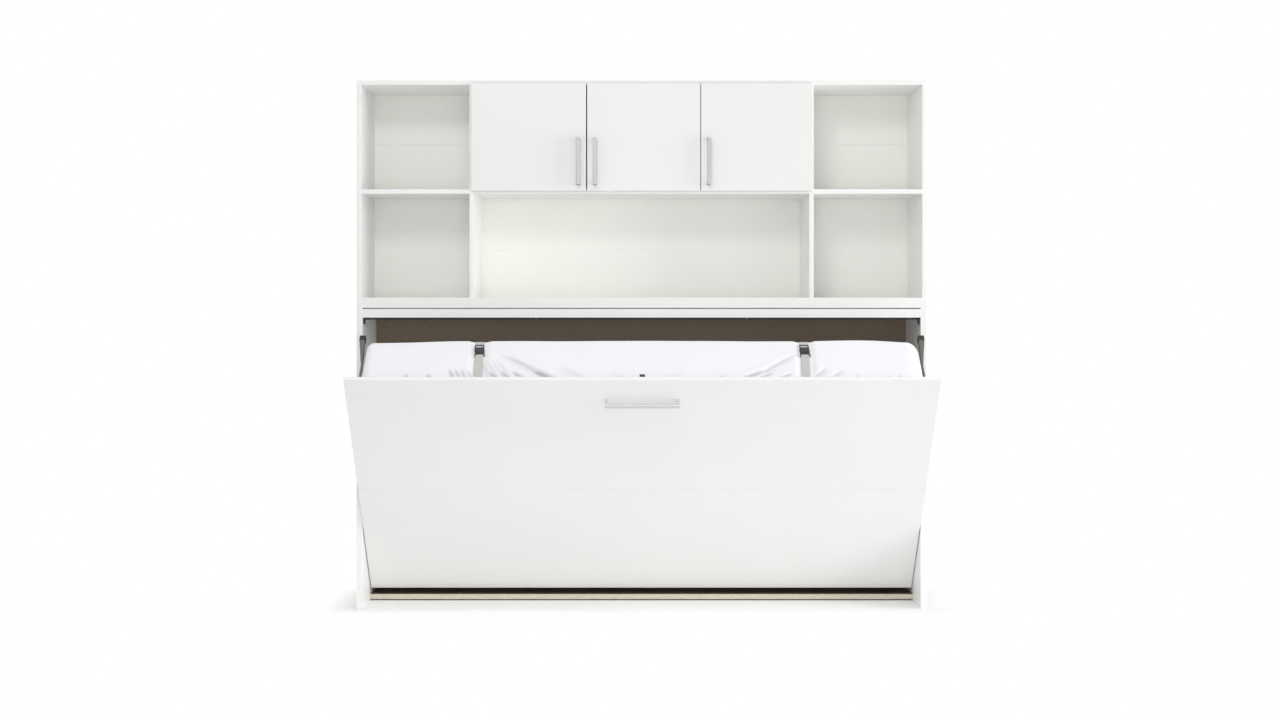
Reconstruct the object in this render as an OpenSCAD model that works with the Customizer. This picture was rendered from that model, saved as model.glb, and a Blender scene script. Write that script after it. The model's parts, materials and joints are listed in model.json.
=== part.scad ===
// Horizontal wall bed: a low cabinet with a bed that folds down sideways, and a hutch of open
// compartments and three cupboard doors on top. Millimetres, +Z up, the front faces -Y.
// The bed is drawn shut, with its front at y = 0, and then turned about its pivot to bed_tilt.

/* [Cabinet] */
// Thickness of the side panels, the top board and the apron
board_t = 22; // [18:1:25]
// Height of the apron rail under the top board
apron_h = 32; // [25:1:40]
// Dark joint between the top board and the apron rail
apron_gap = 4; // [2:1:6]
// Height of the batten that is screwed to the wall
batten_h = 46; // [40:1:70]
// Thickness of the wall batten
batten_t = 22; // [18:1:25]
// Thickness of the bottom board
bottom_t = 19; // [16:1:22]
// Air under the bottom board
bottom_z = 5; // [2:1:8]
// How far the bottom board stands back from the front
bottom_setback = 190; // [165:1:200]
// Thickness of the thin back boards
back_t = 4; // [3:1:6]
// Least room between the turning mattress and the cabinet's back
swing_room = 46; // [40:1:100]

/* [Wall fixing] */
// Distance between neighbouring screw holes in the wall batten
wall_hole_pitch = 600; // [500:10:620]
// Diameter of the screw holes
wall_hole_d = 7; // [5:0.5:9]

/* [Hutch] */
// Height of the hutch
hutch_h = 824; // [780:1:860]
// Thickness of the hutch boards
shelf_t = 16; // [15:1:19]
// Half the clear width between the two tall dividers
niche_half_w = 624; // [600:1:640]
// Underside of the middle shelves above the cabinet
shelf_up = 403; // [380:1:420]
// Centre of the partition between the cupboards, right of the middle
partition_x = 219; // [210:1:225]
// Lower seam of the thin back, above the cabinet
back_seam_low = 203; // [150:1:250]
// Upper seam of the thin back, above the cabinet
back_seam_high = 616; // [560:1:660]

/* [Doors] */
// Thickness of the doors
door_t = 16; // [15:1:19]
// Air between a shut door and the boards behind it
door_air = 1.5; // [1:0.5:2.5]
// How far the doors overlap the dividers and the middle shelf
door_lap = 8; // [6:1:9]
// How far the doors reach up over the top board
door_lap_top = 4; // [2:1:8]
// Gap between neighbouring doors
door_gap = 4; // [3:1:5]
// Centre of the gap between the left and the middle door
door_meet_x = -204; // [-212:1:-200]
// Door edge to the centre of its handle
handle_inset = 29; // [26:1:36]
// Door's lower edge to the lower end of its handle
handle_up = 22; // [20:1:60]

/* [Handles] */
// Length of a door handle
door_handle_l = 172; // [140:1:200]
// Length of the bed handle
bed_handle_l = 260; // [200:1:320]
// Width of a handle's bar
bar_w = 13.5; // [10:0.5:16]
// Thickness of a handle's bar
bar_t = 10; // [7:0.5:11]
// Length of a handle's foot along the bar
handle_foot = 9; // [8:0.5:12]
// How far a handle stands out
handle_out = 35; // [28:1:38]

/* [Door hinges] */
// Diameter of the hinge cup
cup_d = 35; // [30:1:36]
// Depth of the hinge cup
cup_h = 11.5; // [11:0.5:12]
// Door edge to the middle of the cup
cup_inset = 22.5; // [21:0.5:24]
// Door end to the middle of the nearest cup
cup_end = 90; // [80:1:120]

/* [Bed panel] */
// How far the bed is folded down, from upright
bed_tilt = 39.1; // [10:0.1:60]
// Thickness of the two front boards
panel_t = 18; // [16:1:19]
// Gap between the front boards and each cabinet side
panel_side_gap = 3; // [3:0.5:4]
// Gap under the apron rail when the bed is shut
panel_top_gap = 9; // [8:1:14]
// Gap over the floor when the bed is shut
panel_floor_gap = 12; // [12:1:14]
// Joint between the two front boards
panel_seam = 0.6; // [0.4:0.1:2]
// Upper edge of the front to the middle of the handle
bed_handle_down = 94; // [80:1:120]

/* [Bed pivot] */
// Height of the pivot over the front boards' lower edge
pivot_up = 306; // [302:1:308]
// Pivot behind the front face
pivot_back = 55; // [54:1:56]
// Diameter of the pivot pin
pin_d = 12; // [10:1:12]
// Play between pin and bush, on the radius
pin_play = 0.05; // [0.02:0.01:0.1]
// Wall of the plastic bush
bush_wall = 2; // [1.5:0.5:2.5]
// Wall of the bracket's boss round the bush
boss_wall = 3; // [2.5:0.5:3.5]
// Width and height of the pivot plate
pivot_plate_w = 60; // [56:1:62]
// Thickness of the plates on the cabinet sides
plate_t = 3; // [2:0.5:3.5]
// Thickness of the bracket on the bed
bracket_t = 4; // [3:0.5:5]
// Width of the bracket along the bed's end rail
bracket_w = 100; // [90:1:120]
// Gap between bracket and plate, filled by the bush's flange
thrust_gap = 1; // [0.9:0.1:1.2]

/* [Gas springs] */
// Upper stud over the bed pivot, measured along the spring
spring_reach = 480; // [440:1:500]
// Lean of that line to the back, from upright
spring_lean = 15; // [12:0.5:18]
// Lower stud's distance from the pivot
spring_lever = 40; // [36:1:42]
// Outer diameter of the cylinder
cylinder_d = 16; // [15:1:18]
// Wall of the cylinder
cylinder_wall = 1.5; // [1:0.5:2]
// Length of the cylinder
cylinder_l = 290; // [260:1:300]
// Diameter of the piston rod
rod_d = 8; // [6:1:8]
// Length of rod inside the cylinder
rod_inside = 55; // [50:1:80]
// Diameter of the studs
stud_d = 8; // [6:1:8]
// Outer diameter of the end eyes
eye_d = 18; // [16:1:20]
// Thickness of the end eyes
eye_t = 5; // [4:0.5:6]

/* [Bed frame] */
// Thickness of the four frame rails
rail_t = 22; // [18:1:22]
// Height of the frame rails on the front boards
rail_h = 34; // [30:1:34]
// Thickness of the end rails
end_rail_t = 18; // [16:1:19]
// Height of the board that carries the upright mattress
keeper_h = 102; // [80:1:120]
// Number of slats
slat_count = 16; // [12:1:20]
// Width of a slat
slat_w = 53; // [38:1:63]
// Thickness of a slat
slat_t = 8; // [7:1:10]
// Length that a slat holder grips
holder_grip = 24; // [18:1:30]

/* [Mattress] */
// Length of the mattress
mattress_l = 1980; // [1800:10:2200]
// Width of the mattress
mattress_w = 900; // [800:10:1000]
// Thickness of the mattress
mattress_t = 200; // [140:5:220]
// Free edge of the front boards to the mattress's side
mattress_inset = 32; // [32:1:40]
// Lower edge of the front boards to the mattress's other side
mattress_low = 130; // [126:1:140]
// Radius of the mattress's edges
mattress_r = 30; // [24:1:40]
// Height of the mattress's crown
crown = 5; // [0:1:8]
// How far the sides swell between the edges
side_swell = 3; // [0:1:4]
// How deep the straps press into the mattress
strap_dent = 4; // [2:0.5:6]
// Clearance between soft parts and what they lie on
soft_gap = 0.3; // [0.3:0.1:0.5]

/* [Straps] */
// Middle of a strap, from the middle of the bed
strap_x = 578; // [520:1:640]
// Width of the webbing
strap_w = 32; // [25:1:40]
// Thickness of the webbing
strap_t = 1.6; // [1.2:0.1:2]
// Length of the buckle
buckle_l = 62; // [50:1:70]
// Width of the buckle
buckle_w = 38; // [34:1:44]
// Thickness of the buckle
buckle_t = 8; // [6:0.5:8]
// Mattress surface to the buckle's upper end
buckle_down = 28; // [28:1:60]

/* [Legs] */
// Thickness of the flat steel of a leg
leg_t = 5; // [4:0.5:8]
// Width of the flat steel
leg_w = 20; // [16:1:24]
// Depth of the leg's crank
crank_h = 12; // [12:1:14]
// Free edge of the front boards to the leg's pin
leg_pin_inset = 26; // [22:1:28]
// Inner face of the front boards to the leg's pin
leg_pin_up = 10; // [10:1:11]
// Pin to the middle of the upright part
leg_offset = 51; // [51:1:60]
// Width of the leg's flared foot at its end
foot_w = 20; // [18:1:24]
// How far the foot's inner face leans out to its end
foot_lean = 6; // [5:1:14]
// Length of the flared foot
foot_l = 160; // [120:1:200]
// Wall of the foot
foot_wall = 2; // [1.5:0.5:2.5]
// Height of the rubber cap
cap_h = 24; // [12:1:28]
// Wall of the rubber cap
cap_wall = 1; // [0.5:0.5:1]
// Gap between the mattress's end and the leg
leg_gap = 4; // [3:0.5:5]
// Gap between a rubber cap and the front boards' end
leg_end_gap = 14; // [8:0.5:16]
// Diameter of a leg's hinge pin
leg_pin_d = 6; // [5:1:6]

/* [Stop and catch] */
// Thickness of the steel strip behind the apron
strip_t = 2.5; // [2:0.5:3]
// How far the strip shows under the apron
strip_show = 8; // [6:1:8]
// Height of the strip
strip_h = 34; // [28:1:38]
// Width of the stop lugs at the strip's ends
lug_w = 8; // [6:1:8]
// How far the lugs reach below the apron
lug_drop = 25; // [20:1:25]
// Gap between a lug and the shut bed
lug_gap = 0.5; // [0.3:0.1:1]
// Width of the magnetic catch
catch_w = 19; // [16:1:24]
// Height of the catch on the front board
catch_h = 16; // [12:1:18]
// Length of the catch
catch_l = 26; // [20:1:30]

/* [Hidden] */

white = [0.93, 0.93, 0.92];
steel = [0.72, 0.73, 0.74];
dark_steel = [0.16, 0.16, 0.17];
bare_board = [0.80, 0.72, 0.60];
back_brown = [0.42, 0.38, 0.33];
handle_grey = [0.70, 0.74, 0.76];
beech = [0.86, 0.74, 0.55];
cover_white = [0.95, 0.95, 0.97];
webbing_grey = [0.75, 0.75, 0.73];
plastic_dark = [0.22, 0.22, 0.23];

round_fn = 48;
tiny = 0.01;

// ---- the mattress sets the legs' place, the front boards and so the cabinet round them
leg_x = mattress_l / 2 + leg_gap + leg_t / 2;
foot_in = foot_lean - leg_t / 2;
foot_out = foot_in + foot_w;
panel_half_w = leg_x + foot_out + cap_wall + leg_end_gap;
panel_l = mattress_low + mattress_w + mattress_inset;
panel_z = panel_floor_gap;
panel_top = panel_z + panel_l;
pivot_z = panel_z + pivot_up;
open_face_h = pivot_z - pivot_back;
rail_top_y = panel_t + rail_h;
mattress_y = rail_top_y + soft_gap;

// ---- cabinet, from the inside out
inner_half_w = panel_half_w + panel_side_gap;
half_w = inner_half_w + board_t;
apron_z = panel_top + panel_top_gap;
apron_top = apron_z + apron_h;
side_h = apron_top + apron_gap;
cabinet_h = side_h + board_t;
swing_low = pivot_up - mattress_low;
swing_back = mattress_y + mattress_t - pivot_back;
swing_r = sqrt(swing_low * swing_low + swing_back * swing_back);
cabinet_d = ceil(pivot_back + swing_r + swing_room);
back_inset = 2;

// ---- hutch
hutch_half_w = half_w - shelf_t;
hutch_floor = cabinet_h + shelf_t;
hutch_top = cabinet_h + hutch_h;
hutch_ceiling = hutch_top - shelf_t;
shelf_z = cabinet_h + shelf_up;
shelf_top = shelf_z + shelf_t;
divider_out = niche_half_w + shelf_t;

// ---- doors: [left edge, right edge] of each one
door_low_gap = 1;
door_edge_x = niche_half_w + door_lap;
door_z = shelf_top - door_lap + door_low_gap;
door_h = hutch_ceiling + door_lap_top - door_z;
door_back_y = -door_air;
door_front_y = door_back_y - door_t;
door_left_x = [-door_edge_x, door_meet_x - door_gap / 2];
door_middle_x = [door_meet_x + door_gap / 2, partition_x - door_gap / 2];
door_right_x = [partition_x + door_gap / 2, door_edge_x];
cup_heights = [door_z + cup_end, door_z + door_h - cup_end];
arm_len = 62;
arm_w = 14;
arm_h = 9;
arm_plate_y = 24;
arm_plate_w = 18;
arm_plate_h = 48;
arm_plate_t = 3;
arm_start = 0.6;
arm_seat = 0.3;
link_w = 8;
link_h = 10;

// ---- side by side at each end, from the cabinet side inwards
plate_x = inner_half_w - plate_t;
bracket_x = plate_x - thrust_gap - bracket_t;
end_rail_x = bracket_x - end_rail_t;
spring_side_gap = 7.5;
spring_x = bracket_x - spring_side_gap - eye_t / 2;
stud_end_gap = 3.5;
stud_end = 1.5;
stud_edge = 6;
eye_neck = 5;
boss_len = 16;
pin_end = 1;
boss_in_x = bracket_x + bracket_t - boss_len;
bush_d = pin_d + 2 * pin_play + 2 * bush_wall;
boss_d = bush_d + 2 * boss_wall;
boss_clear = 0.5;
bush_flange_d = boss_d - 1;
bush_flange_t = thrust_gap - 0.2;
screw_head_d = 9;
screw_head_t = 0.6;
screw_inset = 8;

// ---- gas spring: lower stud in the shut bed, and where it is at bed_tilt
lever_angle = 135 + spring_lean;
stud_y = pivot_back + spring_lever * sin(lever_angle);
stud_z = pivot_z + spring_lever * cos(lever_angle);
anchor_y = pivot_back + spring_reach * sin(spring_lean);
anchor_z = pivot_z + spring_reach * cos(spring_lean);
stud_now_y = pivot_back + spring_lever * sin(lever_angle - bed_tilt);
stud_now_z = pivot_z + spring_lever * cos(lever_angle - bed_tilt);
spring_dy = stud_now_y - anchor_y;
spring_dz = stud_now_z - anchor_z;
spring_len = sqrt(spring_dy * spring_dy + spring_dz * spring_dz);
spring_angle = atan2(spring_dy, -spring_dz);
cylinder_start = eye_d / 2 + eye_neck;
cylinder_end = cylinder_start + cylinder_l;
guide_l = 10;
rod_play = 0.05;
piston_l = 8;
piston_play = 0.1;
anchor_plate_w = 40;
anchor_plate_h = 60;

// ---- bed frame
half_l = panel_l / 2;
mattress_free_z = panel_top - mattress_inset;
mattress_low_z = mattress_free_z - mattress_w;
mattress_mid_z = (mattress_free_z + mattress_low_z) / 2;
mattress_mid_y = mattress_y + mattress_t / 2;
keeper_gap = 0.2;
keeper_top_z = mattress_low_z - soft_gap - keeper_gap;
keeper_low_z = keeper_top_z - rail_t;
free_rail_top_z = mattress_free_z - side_swell - strap_dent + soft_gap;
free_rail_low_z = free_rail_top_z - rail_t;
free_rail_setback = 8;
free_rail_half_l = mattress_l / 2 - free_rail_setback;
end_rail_leg_gap = 10;
end_rail_top_z = panel_top - leg_pin_inset - leg_offset - leg_w / 2 - end_rail_leg_gap;
slat_margin = 30;
slat_field = 2 * (free_rail_half_l - slat_margin);
slat_pitch = slat_field / slat_count;
slat_end_gap = 4;
holder_wall = 3;
holder_h = slat_t + 2 * holder_wall;

// ---- legs
foot_d = leg_w;
leg_pin_y = panel_t + leg_pin_up;
leg_pin_z = panel_top - leg_pin_inset;
leg_len = open_face_h + leg_pin_y;
leg_play = 0.5;
cheek_t = 3;
cheek_reach = 8;
cheek_rise = 6;
hinge_base_t = 3;
hinge_base_l = 32;
hinge_base_w = 26;
foot_socket = 2;
foot_solid = 0.25;
cap_sole = 4;
cap_grip = cap_h - cap_sole;

// ---- magnetic catch, stop
catch_set_down = 2;
catch_y = panel_t;
catch_z = panel_top - catch_set_down - catch_l;
strip_y = board_t;
strip_z = apron_z - strip_show;
lug_y = panel_t + lug_gap;
lug_z = apron_z - lug_drop;
strip_screw_end = 36;
strip_screw_pitch = 610;
strip_screw_d = strip_show - 1;
strip_screw_t = 1.5;

// ---- the origin is on the floor, in the middle of the whole thing at rest
front_y = pivot_back - (panel_l - pivot_up) * sin(bed_tilt) - pivot_back * cos(bed_tilt);
rear_y = cabinet_d + back_t;
origin_y = (front_y + rear_y) / 2;

// ================ placing ================

// From the cabinet's front plane to the origin
module placed() {
  translate([0, -origin_y, 0]) children();
}

// What is drawn on the shut bed, turned to bed_tilt
module on_bed() {
  placed() translate([0, pivot_back, pivot_z]) rotate([bed_tilt, 0, 0])
    translate([0, -pivot_back, -pivot_z]) children();
}

// Both ends of the bed or cabinet
module both_ends() {
  children();
  mirror([1, 0, 0]) children();
}

// A board from its low corner to its high corner
module board(low, high) {
  translate(low) cube(high - low);
}

// A round bar along X from x0 to x1
module x_bar(x0, x1, y, z, d) {
  translate([x0, y, z]) rotate([0, 90, 0]) cylinder(d = d, h = x1 - x0, $fn = round_fn);
}

// ================ cabinet ================

module cabinet_side() {
  board([inner_half_w, 0, 0], [half_w, cabinet_d, side_h]);
}
module cabinet_side_left() {
  color(white) placed() mirror([1, 0, 0]) cabinet_side();
}
module cabinet_side_right() {
  color(white) placed() cabinet_side();
}
module cabinet_top_board() {
  color(white) placed() board([-half_w, 0, side_h], [half_w, cabinet_d, cabinet_h]);
}
module apron_rail() {
  color(white) placed() board([-inner_half_w, 0, apron_z], [inner_half_w, board_t, apron_top]);
}

// Four screw holes in a row, through the batten and the back
module wall_holes() {
  for (i = [-1.5:1:1.5])
    translate([i * wall_hole_pitch, cabinet_d - batten_t - 1, side_h - batten_h / 2])
      rotate([-90, 0, 0])
        cylinder(d = wall_hole_d, h = batten_t + back_t + 2, $fn = round_fn);
}
module rear_batten() {
  color(white) placed() difference() {
    board([-inner_half_w, cabinet_d - batten_t, side_h - batten_h],
          [inner_half_w, cabinet_d, side_h]);
    wall_holes();
  }
}
module bottom_board() {
  color(bare_board) placed()
    board([-inner_half_w, bottom_setback, bottom_z],
          [inner_half_w, cabinet_d, bottom_z + bottom_t]);
}
module cabinet_back() {
  color(back_brown) placed() difference() {
    board([-half_w + back_inset, cabinet_d, bottom_z],
          [half_w - back_inset, rear_y, cabinet_h - back_inset]);
    wall_holes();
  }
}

// Flat steel behind the apron, with a lug at each end that stops the shut bed
module stop_strip() {
  color(dark_steel) placed()
    board([-inner_half_w, strip_y, strip_z], [inner_half_w, strip_y + strip_t, strip_z + strip_h]);
}
module stop_lugs() {
  color(dark_steel) placed() both_ends() {
    board([inner_half_w - lug_w, lug_y, lug_z], [inner_half_w, strip_y, apron_z]);
    board([inner_half_w - lug_w, strip_y - tiny, lug_z],
          [inner_half_w, strip_y + strip_t, strip_z]);
  }
}
module strip_screws() {
  color(steel) placed() both_ends() for (i = [0:1])
    translate([inner_half_w - strip_screw_end - i * strip_screw_pitch, strip_y,
               strip_z + strip_show / 2])
      rotate([90, 0, 0]) cylinder(d = strip_screw_d, h = strip_screw_t, $fn = round_fn);
}

// ================ bed mechanism ================

module pivot_plates() {
  color(steel) placed() both_ends() difference() {
    board([plate_x, pivot_back - pivot_plate_w / 2, pivot_z - pivot_plate_w / 2],
          [inner_half_w, pivot_back + pivot_plate_w / 2, pivot_z + pivot_plate_w / 2]);
    x_bar(plate_x - 1, inner_half_w + 1, pivot_back, pivot_z, pin_d);
  }
}
module pivot_pins() {
  color(steel) placed() both_ends()
    x_bar(boss_in_x - pin_end, inner_half_w, pivot_back, pivot_z, pin_d);
}
module mechanism_screws() {
  pivot_at = pivot_plate_w / 2 - screw_inset;
  anchor_at = anchor_plate_h / 2 - screw_inset;
  color(steel) placed() both_ends() {
    for (dy = [-1, 1], dz = [-1, 1])
      x_bar(plate_x - screw_head_t, plate_x, pivot_back + dy * pivot_at,
            pivot_z + dz * pivot_at, screw_head_d);
    for (dz = [-1, 1])
      x_bar(plate_x - screw_head_t, plate_x, anchor_y, anchor_z + dz * anchor_at, screw_head_d);
  }
}
module spring_anchors() {
  color(steel) placed() both_ends() {
    board([plate_x, anchor_y - anchor_plate_w / 2, anchor_z - anchor_plate_h / 2],
          [inner_half_w, anchor_y + anchor_plate_w / 2, anchor_z + anchor_plate_h / 2]);
    x_bar(spring_x - eye_t / 2 - stud_end, plate_x + tiny, anchor_y, anchor_z, stud_d);
  }
}

// Drawn hanging straight down from the origin, which is the upper stud
module gas_cylinder() {
  difference() {
    union() {
      x_bar(-eye_t / 2, eye_t / 2, 0, 0, eye_d);
      translate([0, 0, -cylinder_start]) cylinder(d = rod_d, h = cylinder_start, $fn = round_fn);
      translate([0, 0, -cylinder_end]) cylinder(d = cylinder_d, h = cylinder_l, $fn = round_fn);
    }
    x_bar(-cylinder_d, cylinder_d, 0, 0, stud_d + 2 * rod_play);
    translate([0, 0, -cylinder_end + guide_l])
      cylinder(d = cylinder_d - 2 * cylinder_wall, h = cylinder_l - 2 * guide_l, $fn = round_fn);
    translate([0, 0, -cylinder_end - 1])
      cylinder(d = rod_d + 2 * rod_play, h = guide_l + 2, $fn = round_fn);
  }
}
module gas_rod() {
  rod_top = -cylinder_end + rod_inside;
  difference() {
    union() {
      translate([0, 0, -spring_len]) {
        x_bar(-eye_t / 2, eye_t / 2, 0, 0, eye_d);
        cylinder(d = rod_d, h = spring_len + rod_top, $fn = round_fn);
      }
      translate([0, 0, rod_top - piston_l])
        cylinder(d = cylinder_d - 2 * cylinder_wall - 2 * piston_play, h = piston_l,
                 $fn = round_fn);
    }
    translate([0, 0, -spring_len]) x_bar(-cylinder_d, cylinder_d, 0, 0, stud_d + 2 * rod_play);
  }
}
module along_spring() {
  placed() translate([spring_x, anchor_y, anchor_z]) rotate([spring_angle, 0, 0]) children();
}
module gas_cylinder_left() {
  color(dark_steel) mirror([1, 0, 0]) along_spring() gas_cylinder();
}
module gas_cylinder_right() {
  color(dark_steel) along_spring() gas_cylinder();
}
module gas_rod_left() {
  color(steel) mirror([1, 0, 0]) along_spring() gas_rod();
}
module gas_rod_right() {
  color(steel) along_spring() gas_rod();
}

// Plate on the end rail, with a boss round the bush and a stud for the gas spring
module bed_brackets() {
  color(steel) on_bed() both_ends() difference() {
    union() {
      board([bracket_x, panel_t, pivot_z - bracket_w / 2],
            [bracket_x + bracket_t, stud_y + stud_d + stud_edge, pivot_z + bracket_w / 2]);
      x_bar(boss_in_x, bracket_x + bracket_t, pivot_back, pivot_z, boss_d);
      x_bar(spring_x + eye_t / 2 + stud_end_gap, bracket_x + tiny, stud_y, stud_z, stud_d);
    }
    x_bar(boss_in_x - 1, bracket_x + bracket_t + 1, pivot_back, pivot_z, bush_d);
  }
}
module pivot_bushes() {
  color(plastic_dark) on_bed() both_ends() difference() {
    union() {
      x_bar(boss_in_x, bracket_x + bracket_t, pivot_back, pivot_z, bush_d);
      x_bar(bracket_x + bracket_t, bracket_x + bracket_t + bush_flange_t, pivot_back, pivot_z,
            bush_flange_d);
    }
    x_bar(boss_in_x - 1, plate_x + 1, pivot_back, pivot_z, pin_d + 2 * pin_play);
  }
}

// ================ hutch ================

module hutch_side() {
  board([hutch_half_w, 0, cabinet_h], [half_w, cabinet_d, hutch_ceiling]);
}
module hutch_side_left() {
  color(white) placed() mirror([1, 0, 0]) hutch_side();
}
module hutch_side_right() {
  color(white) placed() hutch_side();
}
module hutch_top_board() {
  color(white) placed() board([-half_w, 0, hutch_ceiling], [half_w, cabinet_d, hutch_top]);
}
module hutch_bottom_board() {
  color(white) placed()
    board([-hutch_half_w, 0, cabinet_h], [hutch_half_w, cabinet_d, hutch_floor]);
}
module divider() {
  board([niche_half_w, 0, hutch_floor], [divider_out, cabinet_d, hutch_ceiling]);
}
module divider_left() {
  color(white) placed() mirror([1, 0, 0]) divider();
}
module divider_right() {
  color(white) placed() divider();
}
module side_shelf() {
  board([divider_out, 0, shelf_z], [hutch_half_w, cabinet_d, shelf_top]);
}
module shelf_left() {
  color(white) placed() mirror([1, 0, 0]) side_shelf();
}
module shelf_right() {
  color(white) placed() side_shelf();
}
module shelf_middle() {
  color(white) placed()
    board([-niche_half_w, 0, shelf_z], [niche_half_w, cabinet_d, shelf_top]);
}
module cupboard_partition() {
  color(white) placed()
    board([partition_x - shelf_t / 2, 0, shelf_top],
          [partition_x + shelf_t / 2, cabinet_d, hutch_ceiling]);
}
// The thin back comes in three strips with a seam between them
module hutch_back_boards() {
  seams = [cabinet_h, cabinet_h + back_seam_low, cabinet_h + back_seam_high,
           hutch_top - back_inset];
  color(white) placed() for (i = [0:2])
    board([-half_w + back_inset, cabinet_d, seams[i] + (i > 0 ? panel_seam : 0)],
          [half_w - back_inset, rear_y, seams[i + 1]]);
}

// ================ doors ================

module door(span, cup_x) {
  color(white) placed() difference() {
    board([span[0], door_front_y, door_z], [span[1], door_back_y, door_z + door_h]);
    for (z = cup_heights) translate([cup_x, door_back_y - cup_h, z]) rotate([-90, 0, 0])
      cylinder(d = cup_d, h = cup_h + 1, $fn = round_fn);
  }
}
// Steel cup in the door, with the link that reaches back to the arm
module hinge_cups(cup_x) {
  cup_wall = 1;
  link_end = arm_start - arm_seat;
  color(steel) placed() for (z = cup_heights) translate([cup_x, door_back_y, z])
    rotate([90, 0, 0]) {
      difference() {
        cylinder(d = cup_d, h = cup_h, $fn = round_fn);
        translate([0, 0, -cup_wall])
          cylinder(d = cup_d - 2 * cup_wall, h = cup_h, $fn = round_fn);
      }
      board([-link_w / 2, -link_h / 2, door_back_y - link_end],
            [link_w / 2, link_h / 2, cup_h - cup_wall / 2]);
    }
}
door_left_cup_x = door_left_x[0] + cup_inset;
door_middle_cup_x = door_middle_x[1] - cup_inset;
door_right_cup_x = door_right_x[1] - cup_inset;
module door_left() {
  door(door_left_x, door_left_cup_x);
}
module door_middle() {
  door(door_middle_x, door_middle_cup_x);
}
module door_right() {
  door(door_right_x, door_right_cup_x);
}
module hinge_cups_left() {
  hinge_cups(door_left_cup_x);
}
module hinge_cups_middle() {
  hinge_cups(door_middle_cup_x);
}
module hinge_cups_right() {
  hinge_cups(door_right_cup_x);
}

// Mounting plate on a board's face at wall_x and an arm that ends behind the door; toward is
// +1 where the cupboard lies to the right of the face
module hinge_arm(wall_x, toward) {
  for (z = cup_heights) translate([wall_x, 0, z]) mirror([toward < 0 ? 1 : 0, 0, 0]) {
    board([0, arm_plate_y, -arm_plate_h / 2],
          [arm_plate_t, arm_plate_y + arm_plate_w, arm_plate_h / 2]);
    board([arm_plate_t - tiny, arm_start, -arm_w / 2],
          [arm_plate_t + arm_h, arm_len, arm_w / 2]);
  }
}
module hinge_arms() {
  color(steel) placed() {
    hinge_arm(-niche_half_w, 1);
    hinge_arm(partition_x - shelf_t / 2, -1);
    hinge_arm(niche_half_w, -1);
  }
}

// ================ handles ================

// Bow handle along X, centred, on a face at y = 0 that looks to -Y
module bow_handle(length) {
  board([-length / 2, -handle_out, -bar_w / 2], [length / 2, bar_t - handle_out, bar_w / 2]);
  for (side = [-1, 1]) translate([side * (length - handle_foot) / 2, 0, 0])
    board([-handle_foot / 2, bar_t - handle_out - tiny, -bar_w / 2],
          [handle_foot / 2, 0, bar_w / 2]);
}
module door_handle(x) {
  color(handle_grey) placed()
    translate([x, door_front_y, door_z + handle_up + door_handle_l / 2])
      rotate([0, 90, 0]) bow_handle(door_handle_l);
}
module door_handle_left() {
  door_handle(door_left_x[1] - handle_inset);
}
module door_handle_middle() {
  door_handle(door_middle_x[0] + handle_inset);
}
module door_handle_right() {
  door_handle(door_right_x[0] + handle_inset);
}
module bed_handle() {
  color(handle_grey) on_bed() translate([0, 0, panel_top - bed_handle_down])
    bow_handle(bed_handle_l);
}

// ================ bed ================

module front_panel_upper() {
  color(white) on_bed()
    board([-panel_half_w, 0, panel_z + half_l + panel_seam / 2], [panel_half_w, panel_t, panel_top]);
}
module front_panel_lower() {
  color(white) on_bed()
    board([-panel_half_w, 0, panel_z], [panel_half_w, panel_t, panel_z + half_l - panel_seam / 2]);
}
module magnet_catch() {
  color(plastic_dark) on_bed()
    board([-catch_w / 2, catch_y, catch_z], [catch_w / 2, catch_y + catch_h, catch_z + catch_l]);
}
module rail_free_side() {
  color(white) on_bed()
    board([-free_rail_half_l, panel_t, free_rail_low_z],
          [free_rail_half_l, rail_top_y, free_rail_top_z]);
}
module mattress_keeper() {
  color(white) on_bed()
    board([-bracket_x, panel_t, keeper_low_z], [bracket_x, panel_t + keeper_h, keeper_top_z]);
}
// The rail is notched for the bracket's boss
module end_rail() {
  difference() {
    board([end_rail_x, panel_t, keeper_top_z], [bracket_x, rail_top_y, end_rail_top_z]);
    x_bar(end_rail_x - 1, bracket_x + 1, pivot_back, pivot_z, boss_d + 2 * boss_clear);
  }
}
module end_rail_left() {
  color(white) on_bed() mirror([1, 0, 0]) end_rail();
}
module end_rail_right() {
  color(white) on_bed() end_rail();
}

function slat_x(i) = (i - (slat_count - 1) / 2) * slat_pitch;

module slats() {
  color(beech) on_bed() for (i = [0:slat_count - 1])
    board([slat_x(i) - slat_w / 2, rail_top_y - holder_wall - slat_t, keeper_top_z + slat_end_gap],
          [slat_x(i) + slat_w / 2, rail_top_y - holder_wall, free_rail_low_z - slat_end_gap]);
}
// A pocket that wraps the slat's end; mouth looks up the bed, base stands on the front board
module slat_holder() {
  half = slat_w / 2 + holder_wall;
  mouth = holder_grip + slat_end_gap;
  difference() {
    board([-half, panel_t, 0], [half, rail_top_y, mouth]);
    board([-slat_w / 2, rail_top_y - holder_wall - slat_t, slat_end_gap],
          [slat_w / 2, rail_top_y - holder_wall, mouth + 1]);
    board([-half + holder_wall, panel_t - 1, holder_wall],
          [half - holder_wall, rail_top_y - holder_h, mouth + 1]);
  }
}
module slat_holders() {
  color(plastic_dark) on_bed() for (i = [0:slat_count - 1]) {
    translate([slat_x(i), 0, keeper_top_z]) slat_holder();
    translate([slat_x(i), 0, free_rail_low_z]) mirror([0, 0, 1]) slat_holder();
  }
}

// ---- mattress: rings of points across it, one at each station along X
corner_steps = 4;
flat_top_steps = 4;
flat_side_steps = 2;
middle_stations = 3;
ring_half_z = mattress_w / 2 - side_swell;
ring_half_y = mattress_t / 2;

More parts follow.
